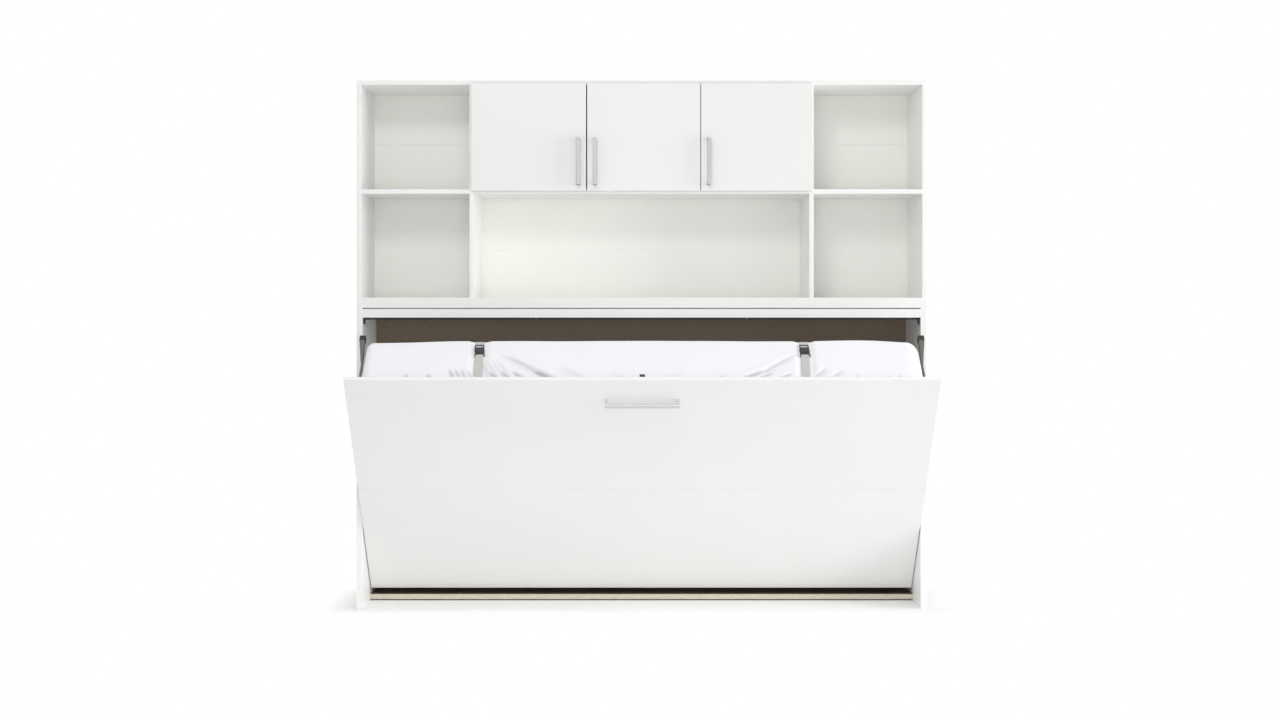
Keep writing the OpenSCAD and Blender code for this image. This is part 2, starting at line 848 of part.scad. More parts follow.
// Points of one corner arc, counted anticlockwise from the angle given
function arc(cz, cy, r, start) =
  [for (i = [0:corner_steps]) let (a = start + 90 * i / corner_steps)
    [cz + r * cos(a), cy + r * sin(a)]];
// Points strictly between two ends
function between(p, q, n) = [for (i = [1:n - 1]) p + (q - p) * i / n];
// Rounded rectangle [z, y] about the mattress's middle; grow widens it evenly
function plain_ring(grow) = let (
    cz = ring_half_z - mattress_r, cy = ring_half_y - mattress_r, r = mattress_r + grow,
    top_free = arc(cz, cy, r, 0), top_low = arc(-cz, cy, r, 90),
    bottom_low = arc(-cz, -cy, r, 180), bottom_free = arc(cz, -cy, r, 270))
  concat(
    top_free,
    between(top_free[corner_steps], top_low[0], flat_top_steps), top_low,
    between(top_low[corner_steps], bottom_low[0], flat_side_steps), bottom_low,
    bottom_free,
    between(bottom_free[corner_steps], top_free[0], flat_side_steps));
// 1 under a strap, falling to 0 beside it
dent_margin = 4;
dent_flat = strap_w / 2 + dent_margin;
dent_fade = 36;
middle_half_l = strap_x - dent_flat - dent_fade;
function dent_at(x) = let (away = abs(abs(x) - strap_x) - dent_flat)
  away <= 0 ? 1 : away >= dent_fade ? 0 : (1 + cos(180 * away / dent_fade)) / 2;
function end_fade(x) = 1 - pow(abs(x) / (mattress_l / 2), 4);
function shaped(p, x, dent) = let (
    w = p[0] / ring_half_z, v = p[1] / ring_half_y,
    up = max(v, 0) * (crown * (1 - min(w * w, 1)) * end_fade(x) * (1 - dent) - strap_dent * dent),
    out = w * (side_swell * (1 - min(v * v, 1)) * (1 - dent) - strap_dent * dent * max(w, 0)))
  [p[0] + out, p[1] + up];
function ring(x, dent, grow) = [for (p = plain_ring(grow)) shaped(p, x, dent)];

end_steps = [0, 0.04, 0.15, 0.35, 0.65, 1];
station_half = concat(
  [for (k = [0:middle_stations - 1]) middle_half_l * k / middle_stations],
  [for (k = [1, 0.62, 0.3, 0]) strap_x - dent_flat - k * dent_fade],
  [for (k = [0, 0.3, 0.62, 1]) strap_x + dent_flat + k * dent_fade],
  [(strap_x + mattress_l / 2) / 2],
  [for (k = [5:-1:0]) mattress_l / 2 - mattress_r * end_steps[k]]);
stations = concat([for (i = [len(station_half) - 1:-1:1]) -station_half[i]], station_half);
// How far the ring shrinks inside the rounded ends
end_rim = 2;
function end_shrink(x) = let (into = mattress_r - (mattress_l / 2 - abs(x)))
  into <= 0 ? 0 : min(mattress_r - sqrt(max(mattress_r * mattress_r - into * into, 0)),
                      mattress_r - end_rim);

module mattress() {
  n = len(plain_ring(0));
  last = len(stations) - 1;
  points = [for (x = stations) for (p = ring(x, dent_at(x), -end_shrink(x)))
    [x, mattress_mid_y + p[1], mattress_mid_z + p[0]]];
  sides = [for (s = [0:last - 1]) for (i = [0:n - 1]) let (j = (i + 1) % n)
    each [[s * n + i, (s + 1) * n + i, (s + 1) * n + j], [s * n + i, (s + 1) * n + j, s * n + j]]];
  ends = [for (i = [1:n - 2]) each [[0, i, i + 1], [last * n, last * n + i + 1, last * n + i]]];
  color(cover_white) on_bed() polyhedron(points, concat(sides, ends));
}

// ---- straps: the same outline, a little outside the mattress
strap_air = 0.1;
strap_grow = soft_gap + strap_air;
// From the free side's middle over the top to the low side's middle
strap_first = 0;
strap_last = 2 * corner_steps + flat_top_steps + 1;
strap_foot_up = 4;
strap_tail = 8;
strap_foot_y = panel_t + strap_foot_up;
strap_low_end_y = mattress_y + mattress_r + strap_tail;

function strap_line(grow) = let (all = ring(strap_x, 1, grow))
  [for (i = [strap_first:strap_last]) [all[i][1], all[i][0]]];
module strap() {
  inner = strap_line(strap_grow);
  outer = strap_line(strap_grow + strap_t);
  foot_z = inner[0][1];
  low_z = inner[len(inner) - 1][1];
  foot_y = strap_foot_y - mattress_mid_y;
  low_y = strap_low_end_y - mattress_mid_y;
  outline = concat(
    [[foot_y, foot_z]], inner, [[low_y, low_z], [low_y, low_z - strap_t]],
    [for (i = [len(outer) - 1:-1:0]) outer[i]], [[foot_y, foot_z + strap_t]]);
  translate([strap_x - strap_w / 2, mattress_mid_y, mattress_mid_z])
    rotate([90, 0, 90]) linear_extrude(strap_w) polygon(outline);
}
module strap_left() {
  color(webbing_grey) on_bed() mirror([1, 0, 0]) strap();
}
module strap_right() {
  color(webbing_grey) on_bed() strap();
}
module strap_buckles() {
  buckle_top_y = mattress_y + mattress_t - buckle_down;
  buckle_z = mattress_mid_z + strap_line(strap_grow)[0][1] + strap_t;
  color(plastic_dark) on_bed() both_ends()
    board([strap_x - buckle_w / 2, buckle_top_y - buckle_l, buckle_z],
          [strap_x + buckle_w / 2, buckle_top_y, buckle_z + buckle_t]);
}

// ================ legs ================

// Base on the front board, two cheeks and the pin of each leg's hinge
module leg_hinges() {
  cheek_in = leg_t / 2 + leg_play;
  base_top_z = leg_pin_z + hinge_base_l / 2;
  base_half_w = hinge_base_w / 2;
  color(steel) on_bed() both_ends() translate([leg_x, 0, 0]) {
    board([-base_half_w, panel_t, base_top_z - hinge_base_l],
          [base_half_w, panel_t + hinge_base_t, base_top_z]);
    for (side = [-1, 1]) mirror([side < 0 ? 1 : 0, 0, 0]) difference() {
      board([cheek_in, panel_t + hinge_base_t - tiny, leg_pin_z - cheek_reach],
            [cheek_in + cheek_t, leg_pin_y + cheek_rise, leg_pin_z + cheek_reach]);
      x_bar(cheek_in - 1, cheek_in + cheek_t + 1, leg_pin_y, leg_pin_z, leg_pin_d);
    }
    x_bar(-cheek_in - cheek_t, cheek_in + cheek_t, leg_pin_y, leg_pin_z, leg_pin_d);
  }
}
// Across the foot at a share of its length: its inner face and its outer face
function foot_inner(share) = foot_in * share - leg_t / 2 * (1 - share);
function foot_outer(share) = foot_out * share + leg_t / 2 * (1 - share);

// Cranked flat steel from the pin, up beside the mattress, that flares out to a hollow foot
module leg() {
  upright_z = leg_pin_z - leg_offset;
  end_y = leg_pin_y + leg_len - cap_sole;
  flare_y = end_y - foot_l;
  socket_y = end_y - cap_grip - foot_socket;
  hollow_y = flare_y + foot_solid * (socket_y - flare_y);
  difference() {
    union() {
      x_bar(-leg_t / 2, leg_t / 2, leg_pin_y, leg_pin_z, crank_h);
      board([-leg_t / 2, leg_pin_y - crank_h / 2, upright_z - leg_w / 2],
            [leg_t / 2, leg_pin_y + crank_h / 2, leg_pin_z]);
      board([-leg_t / 2, leg_pin_y - crank_h / 2, upright_z - leg_w / 2],
            [leg_t / 2, flare_y + tiny, upright_z + leg_w / 2]);
      translate([0, 0, upright_z - foot_d / 2]) linear_extrude(foot_d)
        polygon([[-leg_t / 2, flare_y], [leg_t / 2, flare_y], [foot_out, socket_y],
                 [foot_out, end_y], [foot_in, end_y], [foot_in, socket_y]]);
    }
    translate([0, 0, upright_z - foot_d / 2 + foot_wall])
      linear_extrude(foot_d - 2 * foot_wall)
        polygon([[foot_inner(foot_solid) + foot_wall, hollow_y],
                 [foot_outer(foot_solid) - foot_wall, hollow_y],
                 [foot_out - foot_wall, socket_y], [foot_out - foot_wall, end_y + 1],
                 [foot_in + foot_wall, end_y + 1], [foot_in + foot_wall, socket_y]]);
    x_bar(-leg_t, leg_t, leg_pin_y, leg_pin_z, leg_pin_d + 2 * pin_play);
  }
}
module leg_cap() {
  upright_z = leg_pin_z - leg_offset;
  end_y = leg_pin_y + leg_len;
  difference() {
    board([foot_in - cap_wall, end_y - cap_h, upright_z - foot_d / 2 - cap_wall],
          [foot_out + cap_wall, end_y, upright_z + foot_d / 2 + cap_wall]);
    board([foot_in, end_y - cap_h - 1, upright_z - foot_d / 2],
          [foot_out, end_y - cap_h + cap_grip, upright_z + foot_d / 2]);
  }
}
module leg_left() {
  color(steel) on_bed() mirror([1, 0, 0]) translate([leg_x, 0, 0]) leg();
}
module leg_right() {
  color(steel) on_bed() translate([leg_x, 0, 0]) leg();
}
module leg_cap_left() {
  color(plastic_dark) on_bed() mirror([1, 0, 0]) translate([leg_x, 0, 0]) leg_cap();
}
module leg_cap_right() {
  color(plastic_dark) on_bed() translate([leg_x, 0, 0]) leg_cap();
}

cabinet_side_left();
cabinet_side_right();
cabinet_top_board();
apron_rail();
rear_batten();
bottom_board();
cabinet_back();
stop_strip();
stop_lugs();
strip_screws();
pivot_plates();
pivot_pins();
mechanism_screws();
spring_anchors();
gas_cylinder_left();
gas_cylinder_right();
gas_rod_left();
gas_rod_right();
hutch_side_left();
hutch_side_right();
hutch_top_board();
hutch_bottom_board();
divider_left();
divider_right();
shelf_left();
shelf_middle();
shelf_right();
cupboard_partition();
hutch_back_boards();
hinge_arms();
door_left();
door_middle();
door_right();
door_handle_left();
door_handle_middle();
door_handle_right();
hinge_cups_left();
hinge_cups_middle();
hinge_cups_right();
front_panel_upper();
front_panel_lower();
bed_handle();
magnet_catch();
rail_free_side();
mattress_keeper();
end_rail_left();
end_rail_right();
slats();
slat_holders();
bed_brackets();
pivot_bushes();
mattress();
strap_left();
strap_right();
strap_buckles();
leg_hinges();
leg_left();
leg_right();
leg_cap_left();
leg_cap_right();
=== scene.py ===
"""Looks of a horizontal wall bed with a hutch: boards, fronts, handles, fittings, mattress and straps.

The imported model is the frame. All lengths are metres. Bed coordinates are (x, t, s): t is the depth
behind the front boards' face and s the distance up them from their lower edge; BED turns them to
where the bed stands at rest.
"""
import json
import math
import random

import bmesh
import bpy
import numpy as np
from mathutils import Matrix, Vector

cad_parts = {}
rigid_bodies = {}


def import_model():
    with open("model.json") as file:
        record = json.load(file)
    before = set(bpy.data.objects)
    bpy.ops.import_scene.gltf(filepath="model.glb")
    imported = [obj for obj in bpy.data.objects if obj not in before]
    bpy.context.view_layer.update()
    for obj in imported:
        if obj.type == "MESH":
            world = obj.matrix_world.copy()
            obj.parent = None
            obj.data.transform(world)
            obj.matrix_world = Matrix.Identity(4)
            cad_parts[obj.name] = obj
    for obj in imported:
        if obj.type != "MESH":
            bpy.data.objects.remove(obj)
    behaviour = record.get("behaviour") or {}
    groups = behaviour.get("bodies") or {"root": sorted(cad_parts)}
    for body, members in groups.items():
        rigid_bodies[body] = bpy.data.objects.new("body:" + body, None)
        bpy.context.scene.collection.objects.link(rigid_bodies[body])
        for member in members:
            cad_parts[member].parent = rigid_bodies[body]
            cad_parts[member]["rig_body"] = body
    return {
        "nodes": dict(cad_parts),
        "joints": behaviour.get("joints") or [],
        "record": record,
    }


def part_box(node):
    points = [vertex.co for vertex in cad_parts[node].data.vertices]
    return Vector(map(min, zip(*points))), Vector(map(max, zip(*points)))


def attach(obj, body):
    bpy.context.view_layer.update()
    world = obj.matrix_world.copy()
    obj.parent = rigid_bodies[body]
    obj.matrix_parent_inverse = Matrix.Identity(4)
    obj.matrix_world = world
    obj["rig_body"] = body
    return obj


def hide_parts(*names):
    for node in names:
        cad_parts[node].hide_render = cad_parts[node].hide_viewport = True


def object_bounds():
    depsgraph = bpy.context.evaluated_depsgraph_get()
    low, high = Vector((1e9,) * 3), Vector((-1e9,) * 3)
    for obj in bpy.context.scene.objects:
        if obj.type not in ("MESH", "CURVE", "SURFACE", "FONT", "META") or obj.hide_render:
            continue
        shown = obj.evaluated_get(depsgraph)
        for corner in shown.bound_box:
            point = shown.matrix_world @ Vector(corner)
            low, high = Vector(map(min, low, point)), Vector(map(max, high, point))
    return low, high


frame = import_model()
cad_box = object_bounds()

MM = 0.001
JOINTS = {joint["name"]: joint for joint in frame["joints"]}
SLOT_OF = {part["node"]: part["material_slot"] for part in frame["record"]["subparts"]}

# ---------------- where the bed stands

BED_TILT = -math.radians(JOINTS["bed_fold"]["range_deg"][0])
PIVOT = Vector(JOINTS["bed_fold"]["pos_m"])
PIVOT_T = 55 * MM
PIVOT_S = 306 * MM
BED = (Matrix.Translation(PIVOT) @ Matrix.Rotation(BED_TILT, 4, "X")
       @ Matrix.Translation((0, -PIVOT_T, -PIVOT_S)))
ROW = Matrix.Identity(4)


def bed_box(node):
    """Lowest and highest corner of a node in bed coordinates."""
    turned = [BED.inverted() @ v.co for v in frame["nodes"][node].data.vertices]
    low = Vector([min(p[i] for p in turned) for i in range(3)])
    high = Vector([max(p[i] for p in turned) for i in range(3)])
    return low, high


# ---------------- shader node groups

KIND_OF_SOCKET = {"Vector": "Vector", "Stretch": "Vector", "Colour": "Color", "Gap Colour": "Color",
                  "Light": "Color", "Dark": "Color"}


def new_group(name, inputs, outputs):
    """Empty shader node group with named sockets; returns it with its input and output node."""
    group = bpy.data.node_groups.new(name, "ShaderNodeTree")
    for in_out, labels in (("INPUT", inputs), ("OUTPUT", outputs)):
        for label in labels:
            kind = "NodeSocket" + KIND_OF_SOCKET.get(label, "Float")
            group.interface.new_socket(name=label, in_out=in_out, socket_type=kind)
    return group, group.nodes.new("NodeGroupInput"), group.nodes.new("NodeGroupOutput")


def feed(tree, socket, value):
    """Links an output to an input socket, or sets the input to a plain value."""
    if isinstance(value, bpy.types.NodeSocket):
        tree.links.new(value, socket)
    else:
        socket.default_value = value


def math_node(tree, operation, first, second=None):
    """A Math node whose inputs are sockets or numbers; returns its output."""
    node = tree.nodes.new("ShaderNodeMath")
    node.operation = operation
    feed(tree, node.inputs[0], first)
    if second is not None:
        feed(tree, node.inputs[1], second)
    return node.outputs[0]


def weighted(tree, first, share, second):
    """share of the first value and the rest of the second."""
    return math_node(tree, "ADD", math_node(tree, "MULTIPLY", first, share),
                     math_node(tree, "MULTIPLY", second, 1 - share))


def mix_colour(tree, factor, first, second):
    """A colour mix whose inputs are sockets or values; returns its output."""
    node = tree.nodes.new("ShaderNodeMix")
    node.data_type = "RGBA"
    for index, value in ((0, factor), (6, first), (7, second)):
        feed(tree, node.inputs[index], value)
    return node.outputs[2]


def multiply_vectors(tree, first, second):
    """The product of two vector or colour sockets, channel by channel."""
    node = tree.nodes.new("ShaderNodeVectorMath")
    node.operation = "MULTIPLY"
    tree.links.new(first, node.inputs[0])
    tree.links.new(second, node.inputs[1])
    return node.outputs[0]


def noise_node(tree, vector, scale, detail=3.0, roughness=0.55):
    """A noise texture on a vector socket; returns its factor."""
    node = tree.nodes.new("ShaderNodeTexNoise")
    for label, value in (("Vector", vector), ("Scale", scale), ("Detail", detail),
                         ("Roughness", roughness)):
        feed(tree, node.inputs[label], value)
    return node.outputs["Fac"]


def remap(tree, value, low, high, to_low, to_high):
    """Map Range from low..high to to_low..to_high, clamped; returns its output."""
    node = tree.nodes.new("ShaderNodeMapRange")
    for label, number in (("Value", value), ("From Min", low), ("From Max", high),
                          ("To Min", to_low), ("To Max", to_high)):
        feed(tree, node.inputs[label], number)
    return node.outputs["Result"]


# Where most values of a noise lie
NOISE_SPAN = (0.3, 0.7)


def varied_roughness(group, given, noise):
    """The given roughness, varied by a noise within the given spread."""
    spread = math_node(group, "MULTIPLY", remap(group, noise, *NOISE_SPAN, -1.0, 1.0),
                       given.outputs["Roughness Spread"])
    return math_node(group, "ADD", given.outputs["Roughness"], spread)


def give_out(group, out, **results):
    """Links a group's results to its output node."""
    for label, socket in results.items():
        group.links.new(socket, out.inputs[label])


def make_pearl_grain():
    """Foil and lacquer: cloudy tone, fine pearl relief and a roughness that varies with it."""
    group, given, out = new_group(
        "pearl_grain", ("Vector", "Colour", "Tone", "Grain", "Roughness", "Roughness Spread"),
        ("Colour", "Roughness", "Height"))
    vector = given.outputs["Vector"]
    cloud = noise_node(group, vector, 2.2, 2.0)
    grain = noise_node(group, vector, given.outputs["Grain"], 2.0, 0.6)
    darker = group.nodes.new("ShaderNodeHueSaturation")
    group.links.new(given.outputs["Colour"], darker.inputs["Color"])
    group.links.new(math_node(group, "SUBTRACT", 1.0, given.outputs["Tone"]), darker.inputs["Value"])
    tone = remap(group, cloud, *NOISE_SPAN, 0.0, 1.0)
    give_out(group, out, Height=grain, Roughness=varied_roughness(group, given, grain),
             Colour=mix_colour(group, tone, darker.outputs["Color"], given.outputs["Colour"]))
    return group


def make_drawn_grain():
    """Streaks along one direction: brushed metal or wood fibres, by how far Stretch squeezes."""
    group, given, out = new_group(
        "drawn_grain", ("Vector", "Stretch", "Light", "Dark", "Roughness", "Roughness Spread"),
        ("Colour", "Roughness", "Height"))
    drawn = multiply_vectors(group, given.outputs["Vector"], given.outputs["Stretch"])
    streak = noise_node(group, drawn, 1.0, 4.0, 0.65)
    broad = noise_node(group, drawn, 0.18, 2.0)
    tone = remap(group, weighted(group, streak, 0.6, broad), 0.36, 0.64, 0.0, 1.0)
    give_out(group, out, Height=streak, Roughness=varied_roughness(group, given, streak),
             Colour=mix_colour(group, tone, given.outputs["Dark"], given.outputs["Light"]))
    return group


def make_pressed_chips():
    """Pressed wood: flat chips of three tones with darker gaps between them."""
    group, given, out = new_group(
        "pressed_chips", ("Vector", "Stretch", "Light", "Dark", "Contrast"), ("Colour", "Height"))
    drawn = multiply_vectors(group, given.outputs["Vector"], given.outputs["Stretch"])
    cells = group.nodes.new("ShaderNodeTexVoronoi")
    cells.inputs["Randomness"].default_value = 1.0
    cells.inputs["Scale"].default_value = 1.0
    group.links.new(drawn, cells.inputs["Vector"])
    split = group.nodes.new("ShaderNodeSeparateColor")
    group.links.new(cells.outputs["Color"], split.inputs["Color"])
    flecks = noise_node(group, drawn, 2.5, 3.0, 0.7)
    tone = math_node(group, "MULTIPLY", weighted(group, split.outputs["Red"], 0.65, flecks),
                     given.outputs["Contrast"])
    give_out(group, out, Height=flecks,
             Colour=mix_colour(group, tone, given.outputs["Light"], given.outputs["Dark"]))
    return group


def make_thread_weave():
    """Crossing threads: a relief from two sets of waves, and a tone that follows it."""
    group, given, out = new_group(
        "thread_weave", ("Vector", "Across", "Along", "Colour", "Gap Colour", "Gap Depth"),
        ("Colour", "Height"))
    split = group.nodes.new("ShaderNodeSeparateXYZ")
    group.links.new(given.outputs["Vector"], split.inputs[0])

    def threads(position, count):
        turns = math_node(group, "MULTIPLY", position, count)
        wave = math_node(group, "SINE", math_node(group, "MULTIPLY", turns, 2 * math.pi))
        return remap(group, wave, -1.0, 1.0, 0.0, 1.0)

    lengthwise = math_node(group, "ADD", split.outputs["Y"], split.outputs["Z"])
    warp = threads(split.outputs["X"], given.outputs["Across"])
    weft = threads(lengthwise, given.outputs["Along"])
    height = weighted(group, warp, 0.6, weft)
    loose = noise_node(group, given.outputs["Vector"], 160.0, 3.0)
    gap = math_node(group, "MULTIPLY", math_node(group, "SUBTRACT", 1.0, height),
                    given.outputs["Gap Depth"])
    gap = math_node(group, "MULTIPLY", gap, remap(group, loose, *NOISE_SPAN, 0.6, 1.4))
    give_out(group, out, Height=height,
             Colour=mix_colour(group, gap, given.outputs["Colour"], given.outputs["Gap Colour"]))
    return group


PEARL_GRAIN = make_pearl_grain()
DRAWN_GRAIN = make_drawn_grain()
PRESSED_CHIPS = make_pressed_chips()
THREAD_WEAVE = make_thread_weave()

# ---------------- materials

WHITE = (1.0, 1.0, 1.0, 1.0)
# How deep the relief of each kind of surface is at full strength
PEARL_DEPTH = 0.2 * MM
GRAIN_DEPTH = 0.15 * MM
CHIP_DEPTH = 0.3 * MM
WEAVE_DEPTH = 0.25 * MM


def rgba(colour):
    return (*colour, 1.0)


def new_material(name, roughness, metallic=0.0, **sockets):
    """A material with a Principled shader and object coordinates; returns (material, shader, vector)."""
    material = bpy.data.materials.new(name)
    material.use_nodes = True
    tree = material.node_tree
    shader = tree.nodes["Principled BSDF"]
    shader.inputs["Roughness"].default_value = roughness
    shader.inputs["Metallic"].default_value = metallic
    for label, value in sockets.items():
        shader.inputs[label.replace("_", " ")].default_value = value
    place = tree.nodes.new("ShaderNodeTexCoord")
    return material, shader, place.outputs["Object"]


def lay_finish(material, shader, group, vector, relief, distance, turn=0.0, **values):
    """Places a shader node group with its own values and links it to the shader.

    Its height is relief on the shader's normal, and turn turns its vector about X.
    """
    tree = material.node_tree
    if turn:
        mapping = tree.nodes.new("ShaderNodeMapping")
        mapping.inputs["Rotation"].default_value = (turn, 0, 0)
        tree.links.new(vector, mapping.inputs["Vector"])
        vector = mapping.outputs["Vector"]
    node = tree.nodes.new("ShaderNodeGroup")
    node.node_tree = group
    tree.links.new(vector, node.inputs["Vector"])
    for label, value in values.items():
        node.inputs[label.replace("_", " ")].default_value = value
    tree.links.new(node.outputs["Colour"], shader.inputs["Base Color"])
    if "Roughness" in node.outputs:
        tree.links.new(node.outputs["Roughness"], shader.inputs["Roughness"])
    bump = tree.nodes.new("ShaderNodeBump")
    bump.inputs["Strength"].default_value = relief
    bump.inputs["Distance"].default_value = distance
    tree.links.new(node.outputs["Height"], bump.inputs["Height"])
    tree.links.new(bump.outputs["Normal"], shader.inputs["Normal"])
    return material


def pearl_material(name, colour, roughness, tone=0.03, grain=900.0, relief=0.06, metallic=0.0,
                   spread=0.06, **sockets):
    """Foil, lacquer, moulded plastic or rubber, by its grain's size and relief."""
    material, shader, vector = new_material(name, roughness, metallic, **sockets)
    return lay_finish(material, shader, PEARL_GRAIN, vector, relief, PEARL_DEPTH, Tone=tone,
                      Colour=rgba(colour), Grain=grain, Roughness=roughness,
                      Roughness_Spread=spread)


def drawn_material(name, light, dark, stretch, roughness, metallic=0.0, relief=0.1, turn=0.0):
    """Brushed metal or wood with its grain along the least stretched axis, turned about X."""
    material, shader, vector = new_material(name, roughness, metallic)
    return lay_finish(material, shader, DRAWN_GRAIN, vector, relief, GRAIN_DEPTH, turn,
                      Stretch=stretch, Light=rgba(light), Dark=rgba(dark), Roughness=roughness,
                      Roughness_Spread=0.08)


def chip_material(name, light, dark, stretch, roughness, contrast, relief):
    """Pressed wood, raw or thinly painted."""
    material, shader, vector = new_material(name, roughness)
    return lay_finish(material, shader, PRESSED_CHIPS, vector, relief, CHIP_DEPTH,
                      Stretch=stretch, Light=rgba(light), Dark=rgba(dark), Contrast=contrast)


def woven_material(name, colour, gap_colour, across, along, roughness, gap, relief, sheen, turn):
    """Cloth or webbing in bed coordinates, with its threads along X and along t and s."""
    material, shader, vector = new_material(name, roughness, Sheen_Weight=sheen,
                                            Sheen_Roughness=0.5)
    return lay_finish(material, shader, THREAD_WEAVE, vector, relief, WEAVE_DEPTH, turn,
                      Across=across, Along=along, Colour=rgba(colour),
                      Gap_Colour=rgba(gap_colour), Gap_Depth=gap)


def add_crease_shade(material, shade):
    """Painted shade in the cover's folds: multiplies the colour towards shade as the mesh's attribute
    for it goes to 1.
    """
    tree = material.node_tree
    socket = tree.nodes["Principled BSDF"].inputs["Base Color"]
    painted_crease_shade = tree.nodes.new("ShaderNodeAttribute")
    painted_crease_shade.attribute_name = "painted_crease_shade"
    tint = mix_colour(tree, painted_crease_shade.outputs["Fac"], WHITE, shade)
    shaded = multiply_vectors(tree, socket.links[0].from_socket, tint)
    tree.links.new(shaded, socket)


TO_BED = -BED_TILT

# Painted light: the boards' white foil is made lighter than the same white on the fronts, to lift the
# shade inside the compartments
LIT_FOIL_WHITE = pearl_material("white_board_foil_painted_light", (0.945, 0.945, 0.93), 0.42, tone=0.025)
# Painted shade: a darker copy of the same white, for the banded front edges and the outer faces that the
# lamps light strongly
SHADED_EDGE_WHITE = pearl_material("white_edge_band_painted_shade", (0.785, 0.785, 0.777), 0.36, tone=0.015, relief=0.03)
# Painted light: the edges of the bed's front boards are a brighter copy of the same white, standing in
# for light they do not get
LIT_PANEL_EDGE = pearl_material("panel_edge_painted_light", (0.93, 0.93, 0.93), 0.34, tone=0.01, relief=0.03)
# Painted shade: the fronts' white is a darker copy of the boards' same white foil
SHADED_FRONT_WHITE = pearl_material("white_front_foil_painted_shade", (0.798, 0.798, 0.788), 0.36, tone=0.02, relief=0.04)
# Painted shade: the doors carry the same foil as the bed's fronts, made darker still
SHADED_DOOR_WHITE = pearl_material("white_door_foil_painted_shade", (0.742, 0.742, 0.732), 0.36, tone=0.02, relief=0.04)
RAIL_WHITE = pearl_material("white_rail_foil", (0.84, 0.84, 0.83), 0.45, tone=0.03)
BACK_WHITE = pearl_material("white_back_paint", (0.905, 0.91, 0.863), 0.55, tone=0.03, relief=0.1)
BACK_BROWN = chip_material("raw_hardboard", (0.28, 0.225, 0.168), (0.187, 0.147, 0.105),
                           (420, 420, 420), 0.7, 1.0, 0.25)
BOARD_RAW = chip_material("raw_pressed_board", (0.62, 0.565, 0.475), (0.49, 0.435, 0.35),
                          (90, 90, 620), 0.75, 0.9, 0.3)
# Painted shade: the bottom board's top face is a dark brown, darker than the raw board, standing in for
# the shade in the gap under the bed
SHADED_BOARD_TOP = chip_material("bottom_board_top_painted_shade", (0.16, 0.125, 0.09), (0.10, 0.08, 0.055),
                            (260, 260, 260), 0.6, 0.9, 0.15)
BEECH = drawn_material("beech_slat", (0.66, 0.47, 0.28), (0.52, 0.34, 0.18), (520, 520, 14), 0.42,
                       turn=TO_BED)
STEEL_DARK = pearl_material("dark_steel_paint", (0.024, 0.025, 0.027), 0.45, tone=0.15, grain=500.0,
                            relief=0.12, Specular_IOR_Level=0.3)
SCREW_DULL = pearl_material("dull_screw_steel", (0.17, 0.155, 0.135), 0.5, tone=0.15, grain=400.0,
                            relief=0.08, metallic=0.6)
STEEL_ZINC = pearl_material("zinc_plated_steel", (0.62, 0.63, 0.64), 0.34, tone=0.12, grain=160.0,
                            relief=0.05, metallic=1.0, spread=0.1)
ROD_CHROME = pearl_material("polished_rod", (0.74, 0.74, 0.75), 0.1, tone=0.02, grain=700.0,
                            relief=0.01, metallic=1.0, spread=0.03)
LEG_PAINT = pearl_material("leg_grey_paint", (0.135, 0.132, 0.122), 0.4, tone=0.1, grain=600.0,
                           relief=0.1, Coat_Weight=0.15, Coat_Roughness=0.35)
# Painted shade: the doors' upright handles are the same brushed aluminium as the bed's level handle,
# made much darker to hold down the lamps' reflections in them
SHADED_HANDLE_UPRIGHT = drawn_material("brushed_handle_upright_painted_shade", (0.37, 0.383, 0.388), (0.32, 0.333, 0.338),
                                (900, 900, 8), 0.46, metallic=1.0, relief=0.05)
HANDLE_LEVEL = drawn_material("brushed_handle_level", (0.74, 0.75, 0.745), (0.67, 0.68, 0.675),
                              (8, 900, 900), 0.46, metallic=1.0, relief=0.05)
PLASTIC_BLACK = pearl_material("black_plastic", (0.040, 0.041, 0.043), 0.42, tone=0.08,
                               grain=1300.0, relief=0.12)
CAP_RUBBER = pearl_material("cap_rubber", (0.028, 0.028, 0.028), 0.68, tone=0.1, grain=1100.0,
                            relief=0.2)
COVER_CLOTH = woven_material("mattress_cover", (0.925, 0.932, 0.96), (0.85, 0.86, 0.90), 900, 900,
                             0.85, 0.25, 0.12, 0.25, turn=TO_BED)
# Painted shade: the cover is darker in its folds' valleys, where shade falls
add_crease_shade(COVER_CLOTH, (0.62, 0.625, 0.645, 1.0))
WEBBING = woven_material("strap_webbing", (0.66, 0.66, 0.64), (0.44, 0.44, 0.42), 620, 250, 0.7,
                         0.8, 0.7, 0.15, turn=TO_BED)
WEBBING_HEM = woven_material("strap_hem", (0.93, 0.93, 0.90), (0.80, 0.80, 0.76), 620, 250, 0.7,
                             0.5, 0.5, 0.15, turn=TO_BED)
# Dark stitch thread: the hem's stitching, and painted shadow at the hem's sewn end
STITCH_AND_SHADOW = pearl_material("stitch_thread_and_painted_shadow", (0.12, 0.12, 0.12), 0.7, tone=0.1, grain=2500.0,
                             relief=0.3)

MATERIAL_OF_SLOT = {
    "white_board": LIT_FOIL_WHITE, "white_front": SHADED_FRONT_WHITE, "white_rail": RAIL_WHITE,
    "white_back": BACK_WHITE, "brown_back": BACK_BROWN, "bare_board": BOARD_RAW, "beech": BEECH,
    "dark_steel": STEEL_DARK, "zinc_steel": STEEL_ZINC, "rod_chrome": ROD_CHROME,
    "leg_steel": LEG_PAINT, "handle_aluminium": SHADED_HANDLE_UPRIGHT, "black_plastic": PLASTIC_BLACK,
    "cap_rubber": CAP_RUBBER, "mattress_cover": COVER_CLOTH, "webbing": WEBBING,
}

# ---------------- making pieces

def show(thing):
    """Puts an object into the scene and returns it."""
    bpy.context.scene.collection.objects.link(thing)
    return thing


